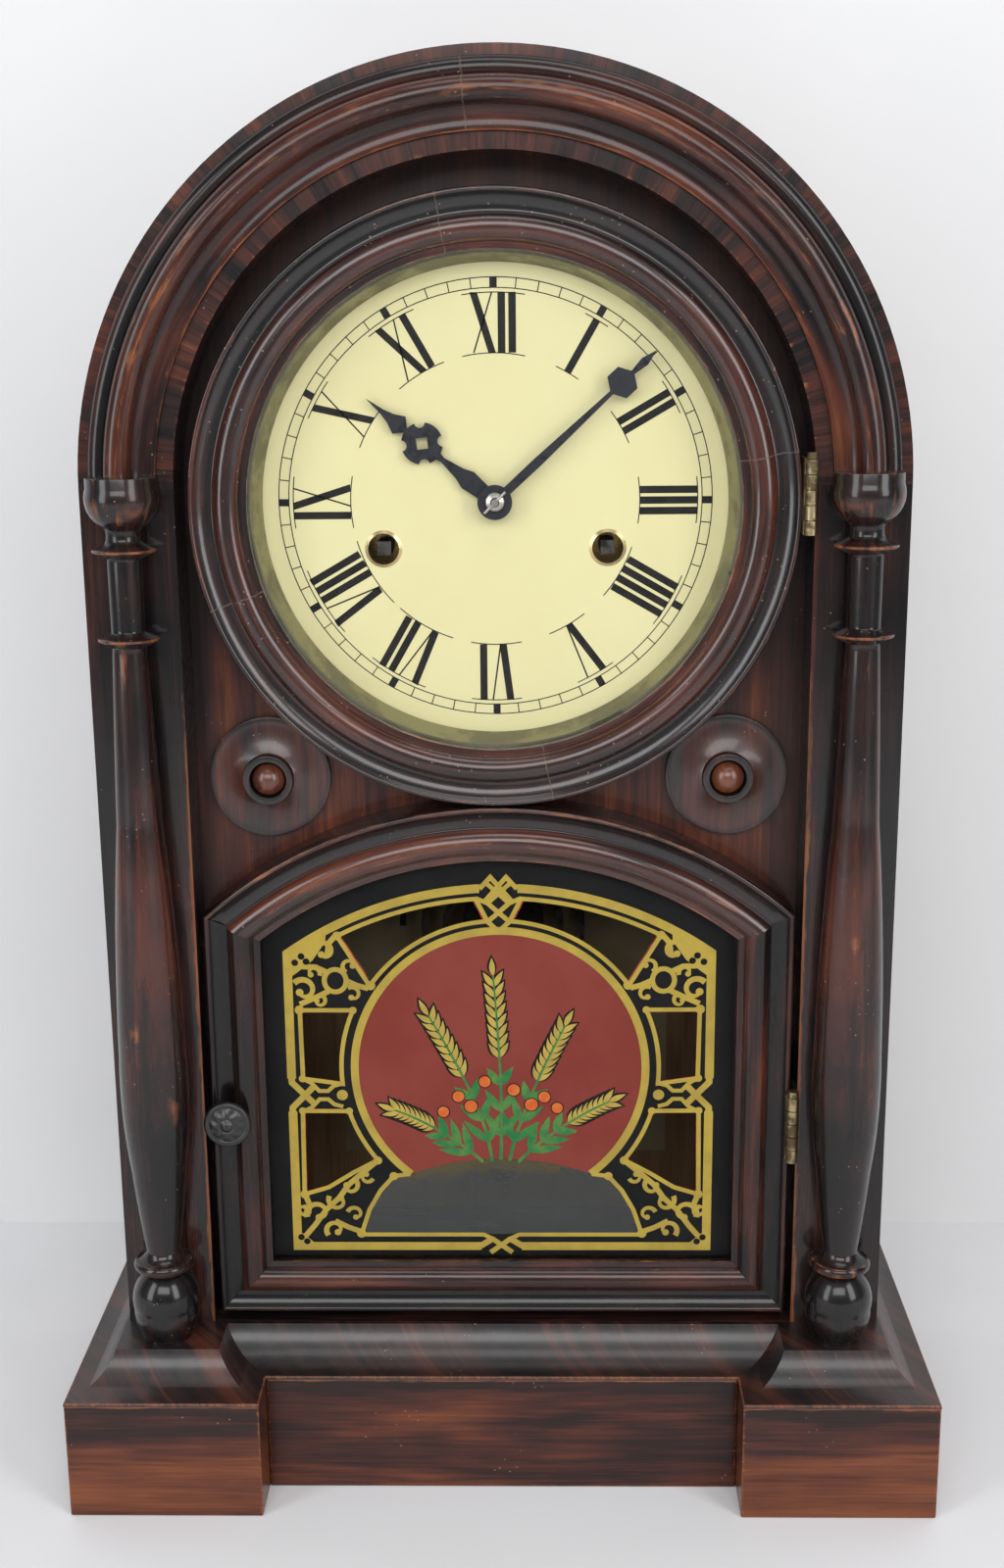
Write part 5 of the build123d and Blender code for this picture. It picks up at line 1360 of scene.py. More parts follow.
@dataclass
class LowerDoor:
    """Mitred frame of the lower door, its knob and latch."""

    half: float = 97.5
    bottom: float = 57.0
    arc_radius: float = 147.0
    arc_z: float = 90.5
    knob_x: float = -91.3
    knob_z: float = 130.0
    knob_seat: float = -31.0

    def shoulder(self, offset: float) -> Pair:
        """Gives the corner where a stile meets the top rail."""
        x = self.half - offset
        return x, self.arc_z + math.sqrt((self.arc_radius - offset) ** 2 - x ** 2)

    def frame_rails(self) -> None:
        """Makes the four rails."""
        marks = rail_section()
        plane = front_plane(AT.rail_back_y)
        top_finish = Timber("rosewood_top_rail", tone=0.52, wear=0.10, specks=0.5, shine=0.45).make()
        side_finish = Timber("rosewood_stiles", tone=0.30, wear=-0.6, specks=0.4, coat=0.3).make()
        low_finish = Timber("rosewood_bottom_rail", tone=0.42, wear=-0.1, specks=0.4).make()
        stations, tracks = arch_stations(
            self.arc_z, self.arc_radius,
            lambda offset: math.acos((self.half - offset) / (self.arc_radius - offset)), 64)
        tracks = [(0.22 * index / 63, 0.0) for index in range(64)]
        top = Carving("lower_door_top_rail_moulded")
        top.sweep(stations, tracks, marks, plane)
        top.make(top_finish, "lower_door", "rosewood", ["lower_door_top_rail"])
        bottom = Carving("lower_door_bottom_rail_moulded")
        ends = [lambda o: (o - self.half, self.bottom + o), lambda o: (self.half - o, self.bottom + o)]
        bottom.sweep(ends, [(0.3, 0.0), (0.5, 0.0)], marks, plane)
        bottom.make(low_finish, "lower_door", "rosewood", ["lower_door_bottom_rail"])
        right = Carving("lower_door_stile_right_moulded")
        right.sweep([lambda o: (self.half - o, self.bottom + o), self.shoulder],
                    [(0.6, 0.0), (0.75, 0.0)], marks, plane)
        right.make(side_finish, "lower_door", "rosewood", ["lower_door_stile_right"])
        self.latch_stile(marks, side_finish)

    @staticmethod
    def height_at(band: Sequence[Mark], offset: float) -> float:
        """Reads the height of the section's outer band.

        Args:
            band: The marks of the band, from the outer edge inwards.
            offset: Distance from the outer edge.

        Returns:
            Its height above the back of the rail.
        """
        for first, second in zip(band, band[1:]):
            if second.offset > offset:
                share = (offset - first.offset) / max(1e-6, second.offset - first.offset)
                return first.height + (second.height - first.height) * max(0.0, share)
        return band[-1].height

    def latch_stile(self, marks: Sequence[Mark], finish: bpy.types.Material) -> None:
        """Finishes the latch stile from its own solid, which holds the slot of the latch.

        Args:
            marks: The section, for its wear and tone.
            finish: Its material.
        """
        face = [mark for mark in marks if mark.height > 14.1]
        band = [mark for mark in face if mark.offset < 7.5]
        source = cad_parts["lower_door_stile_left"].data
        piece = Carving("lower_door_stile_left_moulded")
        for vertex in source.vertices:
            spot = tuple(part / MM for part in vertex.co)
            offset = spot[0] + self.half
            near = min(face, key=lambda mark: abs(mark.offset - offset))
            shown = spot[1] < AT.rail_back_y - 14.0
            if shown and offset < band[-1].offset:
                spot = (spot[0], AT.rail_back_y - self.height_at(band, offset), spot[2])
            across = near.girth * MM if shown else vertex.co.x + vertex.co.y
            grain = Vector((vertex.co.z + 0.9, 0.0, across))
            piece.point(spot, near.wear if shown else 0.0, near.tone if shown else 0.0, grain)
        piece.faces = [tuple(polygon.vertices) for polygon in source.polygons]
        piece.make(finish, "lower_door", "rosewood", ["lower_door_stile_left"], crease=25.0)

    def knob(self) -> None:
        """Turns the knob, with petals pressed into its face."""
        profile = [(1.6, -12.0), (1.6, 0.0), (4.4, 0.0), (4.4, 1.2), (6.6, 1.9), (7.7, 2.6), (8.0, 3.3),
                   (7.8, 4.1), (7.3, 4.6), (6.6, 4.6), (6.0, 4.3), (5.3, 4.8), (4.5, 5.2), (3.6, 5.5),
                   (2.8, 5.6), (2.3, 5.3), (1.9, 5.5), (1.3, 6.1), (0.7, 6.35), (0.0, 6.4)]
        piece = Carving("door_knob_turned")
        rows = []
        spokes = 64
        for radius, height in [(0.0, -12.0)] + profile:
            row = []
            for index in range(spokes):
                turn = math.tau * index / spokes
                lobe = max(0.0, 1 - abs(radius - 4.5) / 1.6) * 0.55 * (0.5 - 0.5 * math.cos(8 * turn))
                spot = (self.knob_x + radius * math.cos(turn), self.knob_seat - height + lobe,
                        self.knob_z + radius * math.sin(turn))
                row.append(piece.point(spot))
            rows.append(row)
        for first, second in zip(rows, rows[1:]):
            piece.bridge(first, second, True)
        finish = Paint("japanned_knob", (0.008, 0.008, 0.009), (0.014, 0.012, 0.012), 300, 0.34, coat=0.2,
                       chips=-0.04, chip_colour=(0.10, 0.08, 0.065)).make()
        piece.make(finish, "door_knob", "ebonised", ["door_knob"], crease=50.0)

    def build(self) -> None:
        """Makes the frame and the knob, and dresses the rest."""
        self.frame_rails()
        self.knob()
        dress(Metal("latch_iron", (0.30, 0.29, 0.28), (0.10, 0.09, 0.08), 0.6, 0.45).make(), "door_latch")
        dress(Timber("stop_beads", Layout.UPRIGHT, tone=0.4, coat=0.0, gloss=0.5).make(), "glass_stops")
        dress(Glass("tablet_glass_clear", mirror=0.0, smears=0.0).make(), "tablet_glass")


@dataclass
class Tablet:
    """Reverse painting on the lower glass: gilded strapwork, a red disc and a garden spray."""

    disc_z: float = 144.5
    ring_radius: float = 49.3
    ring_width: float = 2.7
    strap: float = 3.0
    fillet: float = 1.5
    half: float = 70.9
    foot_z: float = 78.8
    waist_z: float = 135.2
    arch_middle_z: float = 86.9
    arch_radius: float = 121.8
    gold_y: float = -22.185
    disc_y: float = -21.99
    ground_y: float = -21.93
    layer: float = 0.02
    coat: float = 0.0006
    flank: tuple[Pair, ...] = ((36.9, 105.2), (41.6, 99.8), (45.6, 92.6), (48.6, 83.3))
    blacks: tuple[Colour, Colour] = ((0.0088, 0.0090, 0.0096), (0.0118, 0.0118, 0.0122))
    coats: int = field(default=0, init=False)
    leaves: int = field(default=0, init=False)

    @staticmethod
    def paint(name: str, base: Colour, drift: Colour, scale: float, chips: float = 0.0) -> Paint:
        """Gives a paint that lies flat behind the glass."""
        return Paint(name, base, drift, scale, 0.6, chips=chips, relief=0.0, shine=0.08)

    def on_ring(self, radius: float, degrees: float) -> Pair:
        """Gives a point on a circle round the disc's middle."""
        turn = math.radians(degrees)
        return radius * math.cos(turn), self.disc_z + radius * math.sin(turn)

    def ring_arc(self, radius: float, start: float, end: float, count: int = 20) -> list[Pair]:
        """Gives points on a circle round the disc's middle, between two angles."""
        return [self.on_ring(radius, start + (end - start) * index / count) for index in range(count + 1)]

    def arch_arc(self, radius: float, x_from: float, x_to: float, count: int = 16) -> list[Pair]:
        """Gives points along the arched top, between two places of X.

        Args:
            radius: The radius of the arch.
            x_from: The X of the first point.
            x_to: The X of the last point.
            count: Number of runs between the points.

        Returns:
            The points.
        """
        points = []
        for index in range(count + 1):
            x = x_from + (x_to - x_from) * index / count
            points.append((x, self.arch_middle_z + math.sqrt(radius ** 2 - x ** 2)))
        return points

    def panels(self) -> list[list[Pair]]:
        """Gives the outlines of the clear panels on the right, along their gold lines.

        Returns:
            One outline for each panel.
        """
        top = self.arch_arc(118.3, 7.6, 54.0) + self.ring_arc(52.8, 34.6, 86.0)
        upper = self.ring_arc(53.8, -5.6, 23.4, 8) + [(67.3, 165.9), (67.0, 141.2)]
        lower = [(67.5, 129.4)] + self.ring_arc(53.8, -16.4, -38.2, 6)
        lower += [(51.0, 106.4), (59.5, 101.0), (67.9, 98.4)]
        return [top, upper, lower]

    def mound(self, half: float) -> list[Pair]:
        """Gives the red disc's lower edge, from left to right."""
        return [(half * share, 111.7 - 5.8 * (half * share / 31.3) ** 2)
                for share in (-1.0, -0.75, -0.5, -0.25, 0.0, 0.25, 0.5, 0.75, 1.0)]

    def window(self) -> list[Pair]:
        """Gives the outline of the clear foot of the picture."""
        twin = [(-x, z) for x, z in reversed(self.flank)]
        return self.mound(32.6) + list(self.flank) + twin

    def ground(self) -> None:
        """Makes the black ground, with holes where the glass is clear."""
        half, bottom, radius = 81.5, 71.5, 131.0
        middle_z = 90.5
        across = [half * (20 - index) / 20 for index in range(41)]
        arch = [(x, middle_z + math.sqrt(radius ** 2 - x ** 2)) for x in across]
        loops = [[(-half, bottom), (half, bottom)] + arch, self.window()]
        for panel in self.panels():
            loops += [panel, [(-x, z) for x, z in panel]]
        curve = bpy.data.curves.new("tablet_ground_outline", "CURVE")
        curve.dimensions = "2D"
        curve.fill_mode = "BOTH"
        curve.extrude = self.layer * MM / 2
        for loop in loops:
            spline = curve.splines.new("POLY")
            spline.points.add(len(loop) - 1)
            for point, (x, z) in zip(spline.points, loop):
                point.co = (x * MM, z * MM, 0.0, 1.0)
            spline.use_cyclic_u = True
        sheet = bpy.data.objects.new("tablet_ground_sheet", curve)
        mesh = bpy.data.meshes.new_from_object(sheet)
        upright = Matrix.Rotation(math.pi / 2, 4, "X")
        mesh.transform(Matrix.Translation((0, self.ground_y * MM, 0)) @ upright)
        mesh.materials.clear()
        mesh.materials.append(self.paint("tablet_black", *self.blacks, 40).make())
        bpy.data.objects.remove(sheet)
        piece = bpy.data.objects.new("tablet_ground", mesh)
        bpy.context.scene.collection.objects.link(piece)
        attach(piece, "lower_door")
        log.info("tablet_ground rides on lower_door, %d faces", len(mesh.polygons))

    def line(self, piece: Carving, path: Sequence[Pair], width: Union[float, Sequence[float]],
             lift: float = 0.0, closed: bool = False, both: bool = True) -> None:
        """Adds a painted line, and its twin on the left.

        Args:
            piece: What it is added to.
            path: Its middle.
            width: Its width.
            lift: How far behind the gold it lies.
            closed: Whether it runs round to its start.
            both: Whether it has a twin.
        """
        for side in (1, -1) if both else (1,):
            level = self.next_coat() + lift
            piece.ribbon([(side * x, z) for x, z in path], width, level, level + self.layer, closed)

    def next_coat(self) -> float:
        """Gives the next stroke a place just behind the strokes before it."""
        self.coats += 1
        return self.gold_y + self.coats * self.coat

    def dots(self, piece: Carving, *dots: tuple[float, float, float]) -> None:
        """Adds round dots and their twins.

        Args:
            piece: What they are added to.
            dots: The X, Z and radius of each.
        """
        for x, z, radius in dots:
            for side in (1, -1):
                level = self.next_coat()
                piece.disc(side * x, z, radius, level, level + self.layer)

    def scroll(self, piece: Carving, x: float, z: float, radius: float, start: float, sweep: float,
               width: float = 1.7) -> None:
        """Adds a C-scroll that curls in to a ball, and its twin.

        Args:
            piece: What it is added to.
            x: Middle of the curl.
            z: Middle of the curl.
            radius: Radius where it starts.
            start: Angle where it starts, in degrees.
            sweep: How far it turns, in degrees.
            width: Its width where it starts.
        """
        path, widths = [], []
        for index in range(19):
            share = index / 18
            reach = radius * (1 - 0.62 * share ** 1.4)
            turn = math.radians(start + sweep * share)
            path.append((x + reach * math.cos(turn), z + reach * math.sin(turn)))
            widths.append(width * (1 - 0.45 * share))
        self.line(piece, path, widths)
        self.dots(piece, (*path[-1], width * 0.62))

    def knots(self, gold: Carving) -> None:
        """Adds the knots in the middle of the top, the foot and both sides.

        Args:
            gold: What they are added to.
        """
        w, top, foot = self.waist_z, 210.0, self.foot_z
        self.line(gold, [(6.2, top - 1.6), (2.6, top + 2.4), (-4.4, 204.2), (0.0, 200.2), (3.6, 197.0),
                         (0.0, 193.6)], 1.6)
        self.line(gold, [(-4.0, 210.4), (3.6, 203.4), (7.6, 205.2)], 1.5)
        self.line(gold, [(-3.4, foot + 3.0), (3.8, foot - 2.4)], 1.8)
        self.line(gold, [(3.0, foot + 2.8), (6.2, 83.2), (48.6, 83.2)], self.fillet)
        self.line(gold, [(7.4, foot), (3.4, foot + 2.6)], 2.2)
        for lean in (1, -1):
            self.line(gold, [(self.half, w + 7.0 * lean), (self.half, w + 4.6 * lean),
                             (63.6, w - 3.0 * lean)], 2.2)
            self.line(gold, [(67.2, w + 6.0 * lean), (64.2, w + 4.4 * lean), (61.6, w + 1.5 * lean),
                             (58.6, w + 1.5 * lean), (56.6, w + 3.4 * lean), (53.6, w + 4.2 * lean)], 1.4)
        self.dots(gold, (53.8, w, 1.9), (67.2, w + 6.0, 1.3), (67.5, w - 5.8, 1.3))

    def corners(self, gold: Carving) -> None:
        """Adds the scrollwork in the four corners.

        Args:
            gold: What it is added to.
        """
        for side in (1, -1):
            outline = [(72.3, 186.4), (72.3, 176.0), (67.6, 179.4), (62.4, 183.6), (58.0, 190.0),
                       (57.4, 195.8)]
            level = self.next_coat()
            gold.slab([(side * x, z) for x, z in outline], level, level + self.layer)
            outline = [(72.3, 77.4), (72.3, 86.0), (68.6, 83.2), (65.4, 80.4), (60.0, 77.4)]
            level = self.next_coat()
            gold.slab([(side * x, z) for x, z in outline], level, level + self.layer)
        hoop = [(55.0 + 3.7 * math.cos(t * math.tau / 24), 176.4 + 4.0 * math.sin(t * math.tau / 24))
                for t in range(24)]
        self.line(gold, hoop, 1.7, closed=True)
        for x, z, radius, start, sweep, width in (
            (58.6, 186.6, 3.3, 60, 250, 1.9), (65.8, 173.0, 4.0, 40, 290, 2.1),
            (50.0, 181.6, 2.6, -60, 240, 1.6), (49.4, 171.4, 2.8, 60, 230, 1.6),
            (62.4, 179.0, 2.4, 200, -230, 1.6), (60.6, 169.2, 2.2, 120, 240, 1.5),
            (63.4, 91.2, 4.1, -20, 280, 2.1), (57.6, 85.0, 3.3, -40, 270, 1.9),
            (52.2, 101.6, 3.0, 120, 250, 1.8), (56.4, 96.0, 3.4, 30, -250, 1.8),
            (50.6, 90.8, 2.8, 20, 240, 1.6), (68.2, 92.8, 2.2, 250, 210, 1.4),
            (46.2, 105.0, 2.2, 200, 240, 1.5),
        ):
            self.scroll(gold, x, z, radius, start, sweep, width)
        for path in (
            [(44.0, 173.6), (47.6, 174.6), (51.4, 176.4)], [(54.4, 192.4), (56.8, 189.6), (57.4, 185.2)],
            [(57.8, 179.4), (61.4, 181.2), (66.0, 181.4)], [(57.0, 172.8), (61.4, 170.6), (67.2, 168.0)],
            [(42.8, 110.6), (47.2, 106.8), (52.6, 102.0), (56.0, 97.0), (60.6, 92.6), (64.8, 86.6),
             (70.6, 79.6)],
            [(49.0, 84.4), (53.2, 86.0), (57.6, 88.4)], [(67.6, 97.8), (66.4, 94.6), (66.9, 91.0)],
        ):
            self.line(gold, path, 1.9)
        trefoils = Carving("tablet_trefoils")
        for x, z in ((66.2, 185.0), (64.6, 183.2), (68.4, 182.8), (67.6, 80.6), (69.6, 82.2)):
            for side in (1, -1):
                trefoils.disc(side * x, z, 1.15, self.gold_y - 0.010, self.gold_y - 0.004)
        trefoils.make(self.paint("trefoil_black", *self.blacks, 40).make(), "lower_door", "painted_glass")

    def gilding(self) -> None:
        """Makes the gold strapwork."""
        gold = Carving("tablet_gilding")
        side = [(6.2, self.arch_middle_z + self.arch_radius - 0.3)]
        side += self.arch_arc(self.arch_radius, 7.0, self.half, 18) + [(self.half, self.waist_z + 6.0)]
        self.line(gold, side, self.strap)
        self.line(gold, [(self.half, self.waist_z - 6.0), (self.half, self.foot_z), (7.0, self.foot_z)],
                  self.strap)
        self.knots(gold)
        for panel in self.panels():
            self.line(gold, panel, self.fillet, closed=True)
        self.line(gold, self.ring_arc(self.ring_radius, -51.2, 231.2, 120), self.ring_width, both=False)
        self.line(gold, [(31.2, 106.0), *self.flank], self.fillet)
        self.dots(gold, (36.9, 105.2, 1.5), (48.6, 83.6, 1.6), (43.2, 174.6, 1.6), (54.0, 192.2, 1.5),
                  (67.4, 166.0, 1.6), (49.4, 165.8, 1.3), (51.6, 129.3, 1.3), (67.8, 98.4, 1.6),
                  (42.3, 111.0, 1.5))
        self.corners(gold)
        finish = self.paint("gold_leaf", (0.40, 0.295, 0.055), (0.33, 0.24, 0.050), 110, chips=0.055).make()
        gold.make(finish, "lower_door", "painted_glass", crease=30.0)
        blush = Carving("tablet_blush")
        for panel in self.panels():
            middle_x = sum(x for x, _ in panel) / len(panel)
            middle_z = sum(z for _, z in panel) / len(panel)
            closer = [(x + (middle_x - x) * 0.035, z + (middle_z - z) * 0.035) for x, z in panel]
            self.line(blush, closer, 0.8, 0.06, closed=True)
        blush.make(self.paint("coral_line", (0.42, 0.05, 0.04), (0.02, 0.012, 0.012), 160).make(),
                   "lower_door", "painted_glass")

    def red_disc(self) -> None:
        """Makes the red disc behind the spray."""
        disc = Carving("tablet_disc")
        rim = self.ring_arc(self.ring_radius, -51.2, 231.2, 96)
        disc.slab(rim + self.mound(31.3)[1:-1], self.disc_y, self.disc_y + self.layer)
        disc.make(self.paint("tablet_red", (0.180, 0.035, 0.026), (0.208, 0.046, 0.035), 30).make(),
                  "lower_door", "painted_glass")

    def next_leaf(self) -> float:
        """Gives the next leaf a place just behind the leaves before it."""
        self.leaves += 1
        return self.gold_y + 0.05 + self.leaves * self.coat

    def leaf(self, piece: Carving, x: float, z: float, heading: float, length: float, width: float) -> None:
        """Adds a pointed leaf.

        Args:
            piece: What it is added to.
            x: Where its stalk is.
            z: Where its stalk is.
            heading: Where its tip points, in degrees.
            length: Its length.
            width: Its width.
        """
        turn, level = math.radians(heading), self.next_leaf()
        outline = []
        for index in range(9):
            share = index / 8
            outline.append((share * length, width / 2 * math.sin(math.pi * share ** 0.8)))
        outline += [(u, -v * 0.8) for u, v in reversed(outline[1:-1])]
        along, aside = math.cos(turn), math.sin(turn)
        piece.slab([(x + u * along - v * aside, z + u * aside + v * along) for u, v in outline],
                   level, level + self.layer)

    def spray(self) -> None:
        """Makes the generic spray of ears, leaves and berries on the red disc."""
        names = ("leaves", "ears", "veins", "berries")
        green, ears, dark, berries = (Carving("spray_" + name) for name in names)
        stems = (
            [(-3.0, 110.6), (-4.0, 126.0), (-14.0, 146.0), (-24.0, 164.0)],
            [(0.0, 111.2), (1.0, 130.0), (0.0, 152.0), (-2.0, 178.0)],
            [(3.0, 110.8), (6.0, 126.0), (14.0, 144.0), (22.0, 160.0)],
            [(6.0, 110.4), (14.0, 119.0), (25.0, 127.0), (37.0, 132.6)],
            [(-6.0, 110.4), (-14.0, 118.0), (-24.0, 125.0), (-36.0, 129.6)],
        )
        for stem in stems:
            path = []
            for index in range(21):
                share = index / 20
                rest = 1 - share
                weights = (rest ** 3, 3 * share * rest ** 2, 3 * share ** 2 * rest, share ** 3)
                path.append(tuple(sum(w * p[axis] for w, p in zip(weights, stem)) for axis in (0, 1)))
            level = self.next_leaf()
            green.ribbon(path, [1.2 - 0.6 * i / 20 for i in range(21)], level, level + self.layer)
            for index in (3, 6, 9):
                (x, z), (next_x, next_z) = path[index], path[index + 1]
                heading = math.degrees(math.atan2(next_z - z, next_x - x))
                for lean in (34, -34):
                    self.leaf(green, x, z, heading + lean, 13.5 - 0.6 * index, 3.2)
            for index in range(20, 11, -1):
                (x, z), (back_x, back_z) = path[index], path[index - 1]
                heading = math.degrees(math.atan2(z - back_z, x - back_x))
                for lean in ((32, -32) if index < 20 else (0,)):
                    self.leaf(ears, x, z, heading + lean, 6.4, 2.2)
                for lean in ((32, -32) if index < 20 else (0,)):
                    self.leaf(dark, x, z, heading + lean, 7.5, 3.6)
        for x, z, radius in (
            (-10.0, 131.0, 2.2), (-14.2, 134.6, 2.0), (10.6, 131.6, 2.2), (15.0, 134.4, 2.0),
            (19.4, 130.4, 1.9), (-19.4, 129.0, 1.9), (4.6, 137.0, 2.1), (-5.2, 140.0, 2.0),
        ):
            berries.disc(x, z, radius, self.gold_y + 0.01, self.gold_y + 0.02)
            dark.disc(x, z, radius + 0.35, self.gold_y + 0.03, self.gold_y + 0.04)
        for carving, name, base, drift in (
            (green, "spray_green", (0.02, 0.15, 0.05), (0.09, 0.20, 0.05)),
            (ears, "spray_gold", (0.43, 0.318, 0.070), (0.33, 0.24, 0.055)),
            (dark, "spray_black", (0.010, 0.009, 0.009), (0.016, 0.014, 0.013)),
            (berries, "spray_orange", (0.50, 0.085, 0.022), (0.52, 0.17, 0.04)),
        ):
            carving.make(self.paint(name, base, drift, 180).make(), "lower_door", "painted_glass")

    def film(self) -> None:
        """Lays the grimy film over the clear foot of the picture."""
        film = Carving("tablet_film")
        film.slab(self.window(), self.ground_y + 0.05, self.ground_y + 0.06)
        film.make(Film("window_film").make(), "lower_door", "painted_glass")

    def build(self) -> None:
        """Makes the whole painting."""
        self.ground()
        self.red_disc()
        self.gilding()
        self.spray()
        self.film()


@dataclass
class Dial:
    """Painted dial with its minute track and hour numerals."""

    track_outer: float = 69.2
    track_inner: float = 66.0
    numeral_foot: float = 46.2
    numeral_head: float = 64.6
    thick: float = 2.35
    thin: float = 0.5
    pitch: float = 3.35
    lines: float = 0.32
    print_y: float = -13.05
    film: float = 0.04
    numerals: tuple[str, ...] = ("XII", "I", "II", "III", "IIII", "V", "VI", "VII", "VIII", "IX", "X", "XI")

    def place(self, hour: float, across: float, reach: float) -> Pair:
        """Turns a place in a numeral into X and Z.

        Args:
            hour: The hour that it belongs to.
            across: Distance clockwise from the hour's middle line.
            reach: Distance from the dial's middle.

        Returns:
            X and Z.
        """
        turn = math.radians(30 * hour)
        return (reach * math.sin(turn) + across * math.cos(turn),
                AT.dial_z + reach * math.cos(turn) - across * math.sin(turn))

    def stroke(self, piece: Carving, hour: float, foot: float, head: float, width: float) -> None:
        """Adds a stroke from the numeral's foot to its head.

        Args:
            piece: What it is added to.
            hour: The hour that it belongs to.
            foot: Where it stands across the numeral at its foot.
            head: Where it stands at its head.
            width: Its width.
        """
        corners = [(foot - width / 2, self.numeral_foot), (foot + width / 2, self.numeral_foot),
                   (head + width / 2, self.numeral_head), (head - width / 2, self.numeral_head)]
        piece.slab([self.place(hour, across, reach) for across, reach in corners],
                   self.print_y, self.print_y + self.film)

    def numeral(self, piece: Carving, hour: int, letters: str) -> None:
        """Adds one hour numeral.

        Args:
            piece: What it is added to.
            hour: Its hour.
            letters: Its strokes, as I, V and X.
        """
        widths = {"I": self.pitch, "V": 2.5 * self.pitch, "X": 2.5 * self.pitch}
        total = sum(widths[letter] for letter in letters)
        left = -total / 2
        for letter in letters:
            middle, half = left + widths[letter] / 2, widths[letter] / 2 - 1.3
            if letter == "I":
                self.stroke(piece, hour, middle, middle, self.thick)
            elif letter == "V":
                self.stroke(piece, hour, middle - 0.5, middle - half, self.thick)
                self.stroke(piece, hour, middle + 0.3, middle + half, self.thin)
            else:
                self.stroke(piece, hour, middle + half, middle - half, self.thick)
                self.stroke(piece, hour, middle - half, middle + half, self.thin)
            left += widths[letter]
        reach = total / 2 + 2.4
        for level in (self.numeral_foot, self.numeral_head):
            sides = [reach * index / 4 for index in range(-4, 5)]
            piece.ribbon([self.place(hour + math.degrees(side / level) / 30, 0, level) for side in sides],
                         self.lines, self.print_y, self.print_y + self.film)

    def build(self) -> None:
        """Dresses the pan and prints the markings."""
        dress(Paint("dial_cream", (0.675, 0.63, 0.345), (0.65, 0.60, 0.315), 16, 0.42, coat=0.12,
                    chips=-0.03, chip_colour=(0.35, 0.27, 0.12)).make(), "dial")
        marks = Carving("dial_markings")
        for radius in (self.track_outer, self.track_inner):
            circle = [self.place(index / 10, 0, radius) for index in range(120)]
            marks.ribbon(circle, self.lines, self.print_y, self.print_y + self.film, closed=True)
        for minute in range(60):
            hour = minute / 5
            half = 1.15 if minute % 5 == 0 else self.lines / 2
            corners = [(-half, self.track_inner), (half, self.track_inner), (half, self.track_outer),
                       (-half, self.track_outer)]
            marks.slab([self.place(hour, across, reach) for across, reach in corners],
                       self.print_y - 0.01, self.print_y + 0.03)
        for hour, letters in enumerate(self.numerals):
            self.numeral(marks, hour, letters)
        ink = Paint("dial_ink", (0.007, 0.0065, 0.0065), (0.015, 0.0135, 0.012), 220, 0.42, chips=0.02,
                    shine=0.25, chip_colour=(0.10, 0.09, 0.06))
        marks.make(ink.make(), "case", "dial_paint")


@dataclass
class Fittings:
    """Hands, hinges, grommets and everything of the movement, which keep their own solids."""

    brass: Metal = Metal("old_brass", (0.42, 0.335, 0.19), (0.12, 0.09, 0.052), 0.6, 0.36)
    wheels: Metal = Metal("movement_brass", (0.62, 0.44, 0.17), (0.34, 0.23, 0.09), 0.35, 0.26, 120)
    steel: Metal = Metal("polished_steel", (0.46, 0.44, 0.40), (0.20, 0.18, 0.16), 0.3, 0.3)
    # Winding arbors: dark old steel, darkened further as painted shade of the deep winding holes.
    arbors: Metal = Metal("arbor_steel_with_painted_shade", (0.10, 0.095, 0.09), (0.028, 0.024, 0.022), 0.5, 0.4)
    rims: Metal = Metal("grommet_brass", (0.62, 0.49, 0.26), (0.30, 0.225, 0.115), 0.35, 0.3, 200)
    blued: Metal = Metal("blued_hands", (0.058, 0.060, 0.068), (0.026, 0.027, 0.031), 0.4, 0.36)
    iron: Metal = Metal("dark_iron", (0.09, 0.08, 0.075), (0.04, 0.03, 0.025), 0.5, 0.5)

    def build(self) -> None:
        """Dresses the fittings."""
        brass, wheels, steel = self.brass.make(), self.wheels.make(), self.steel.make()
        blued, iron = self.blued.make(), self.iron.make()
        dress(brass, "hinge_case_leaves", "dial_hinge_door_leaf", "lower_hinge_door_leaf", "hinge_pins")
        dress(self.rims.make(), "winding_grommets")
        dress(blued, "minute_hand", "hour_hand")
        dress(wheels, "front_plate", "back_plate", "time_great_wheel", "centre_wheel", "third_wheel",
              "escape_wheel", "minute_wheel", "hour_wheel", "strike_great_wheel", "strike_pin_wheel",
              "strike_fly", "back_cock", "pendulum_bob", "rating_nut")
        dress(steel, "hand_fixings", "plate_pillars", "movement_screws", "centre_arbor", "verge",
              "mainsprings", "pendulum_rod", "strike_hammer")
        dress(iron, "strike_gong")
        dress(self.arbors.make(), "time_winding_arbor", "strike_winding_arbor")


# Studio

@dataclass(frozen=True)
class Lamp:
    """A soft box: where it hangs, its size in metres, its power and its colour."""

    name: str
    spot: Spot
    size: Pair
    power: float
    colour: Colour = (1.0, 1.0, 1.0)


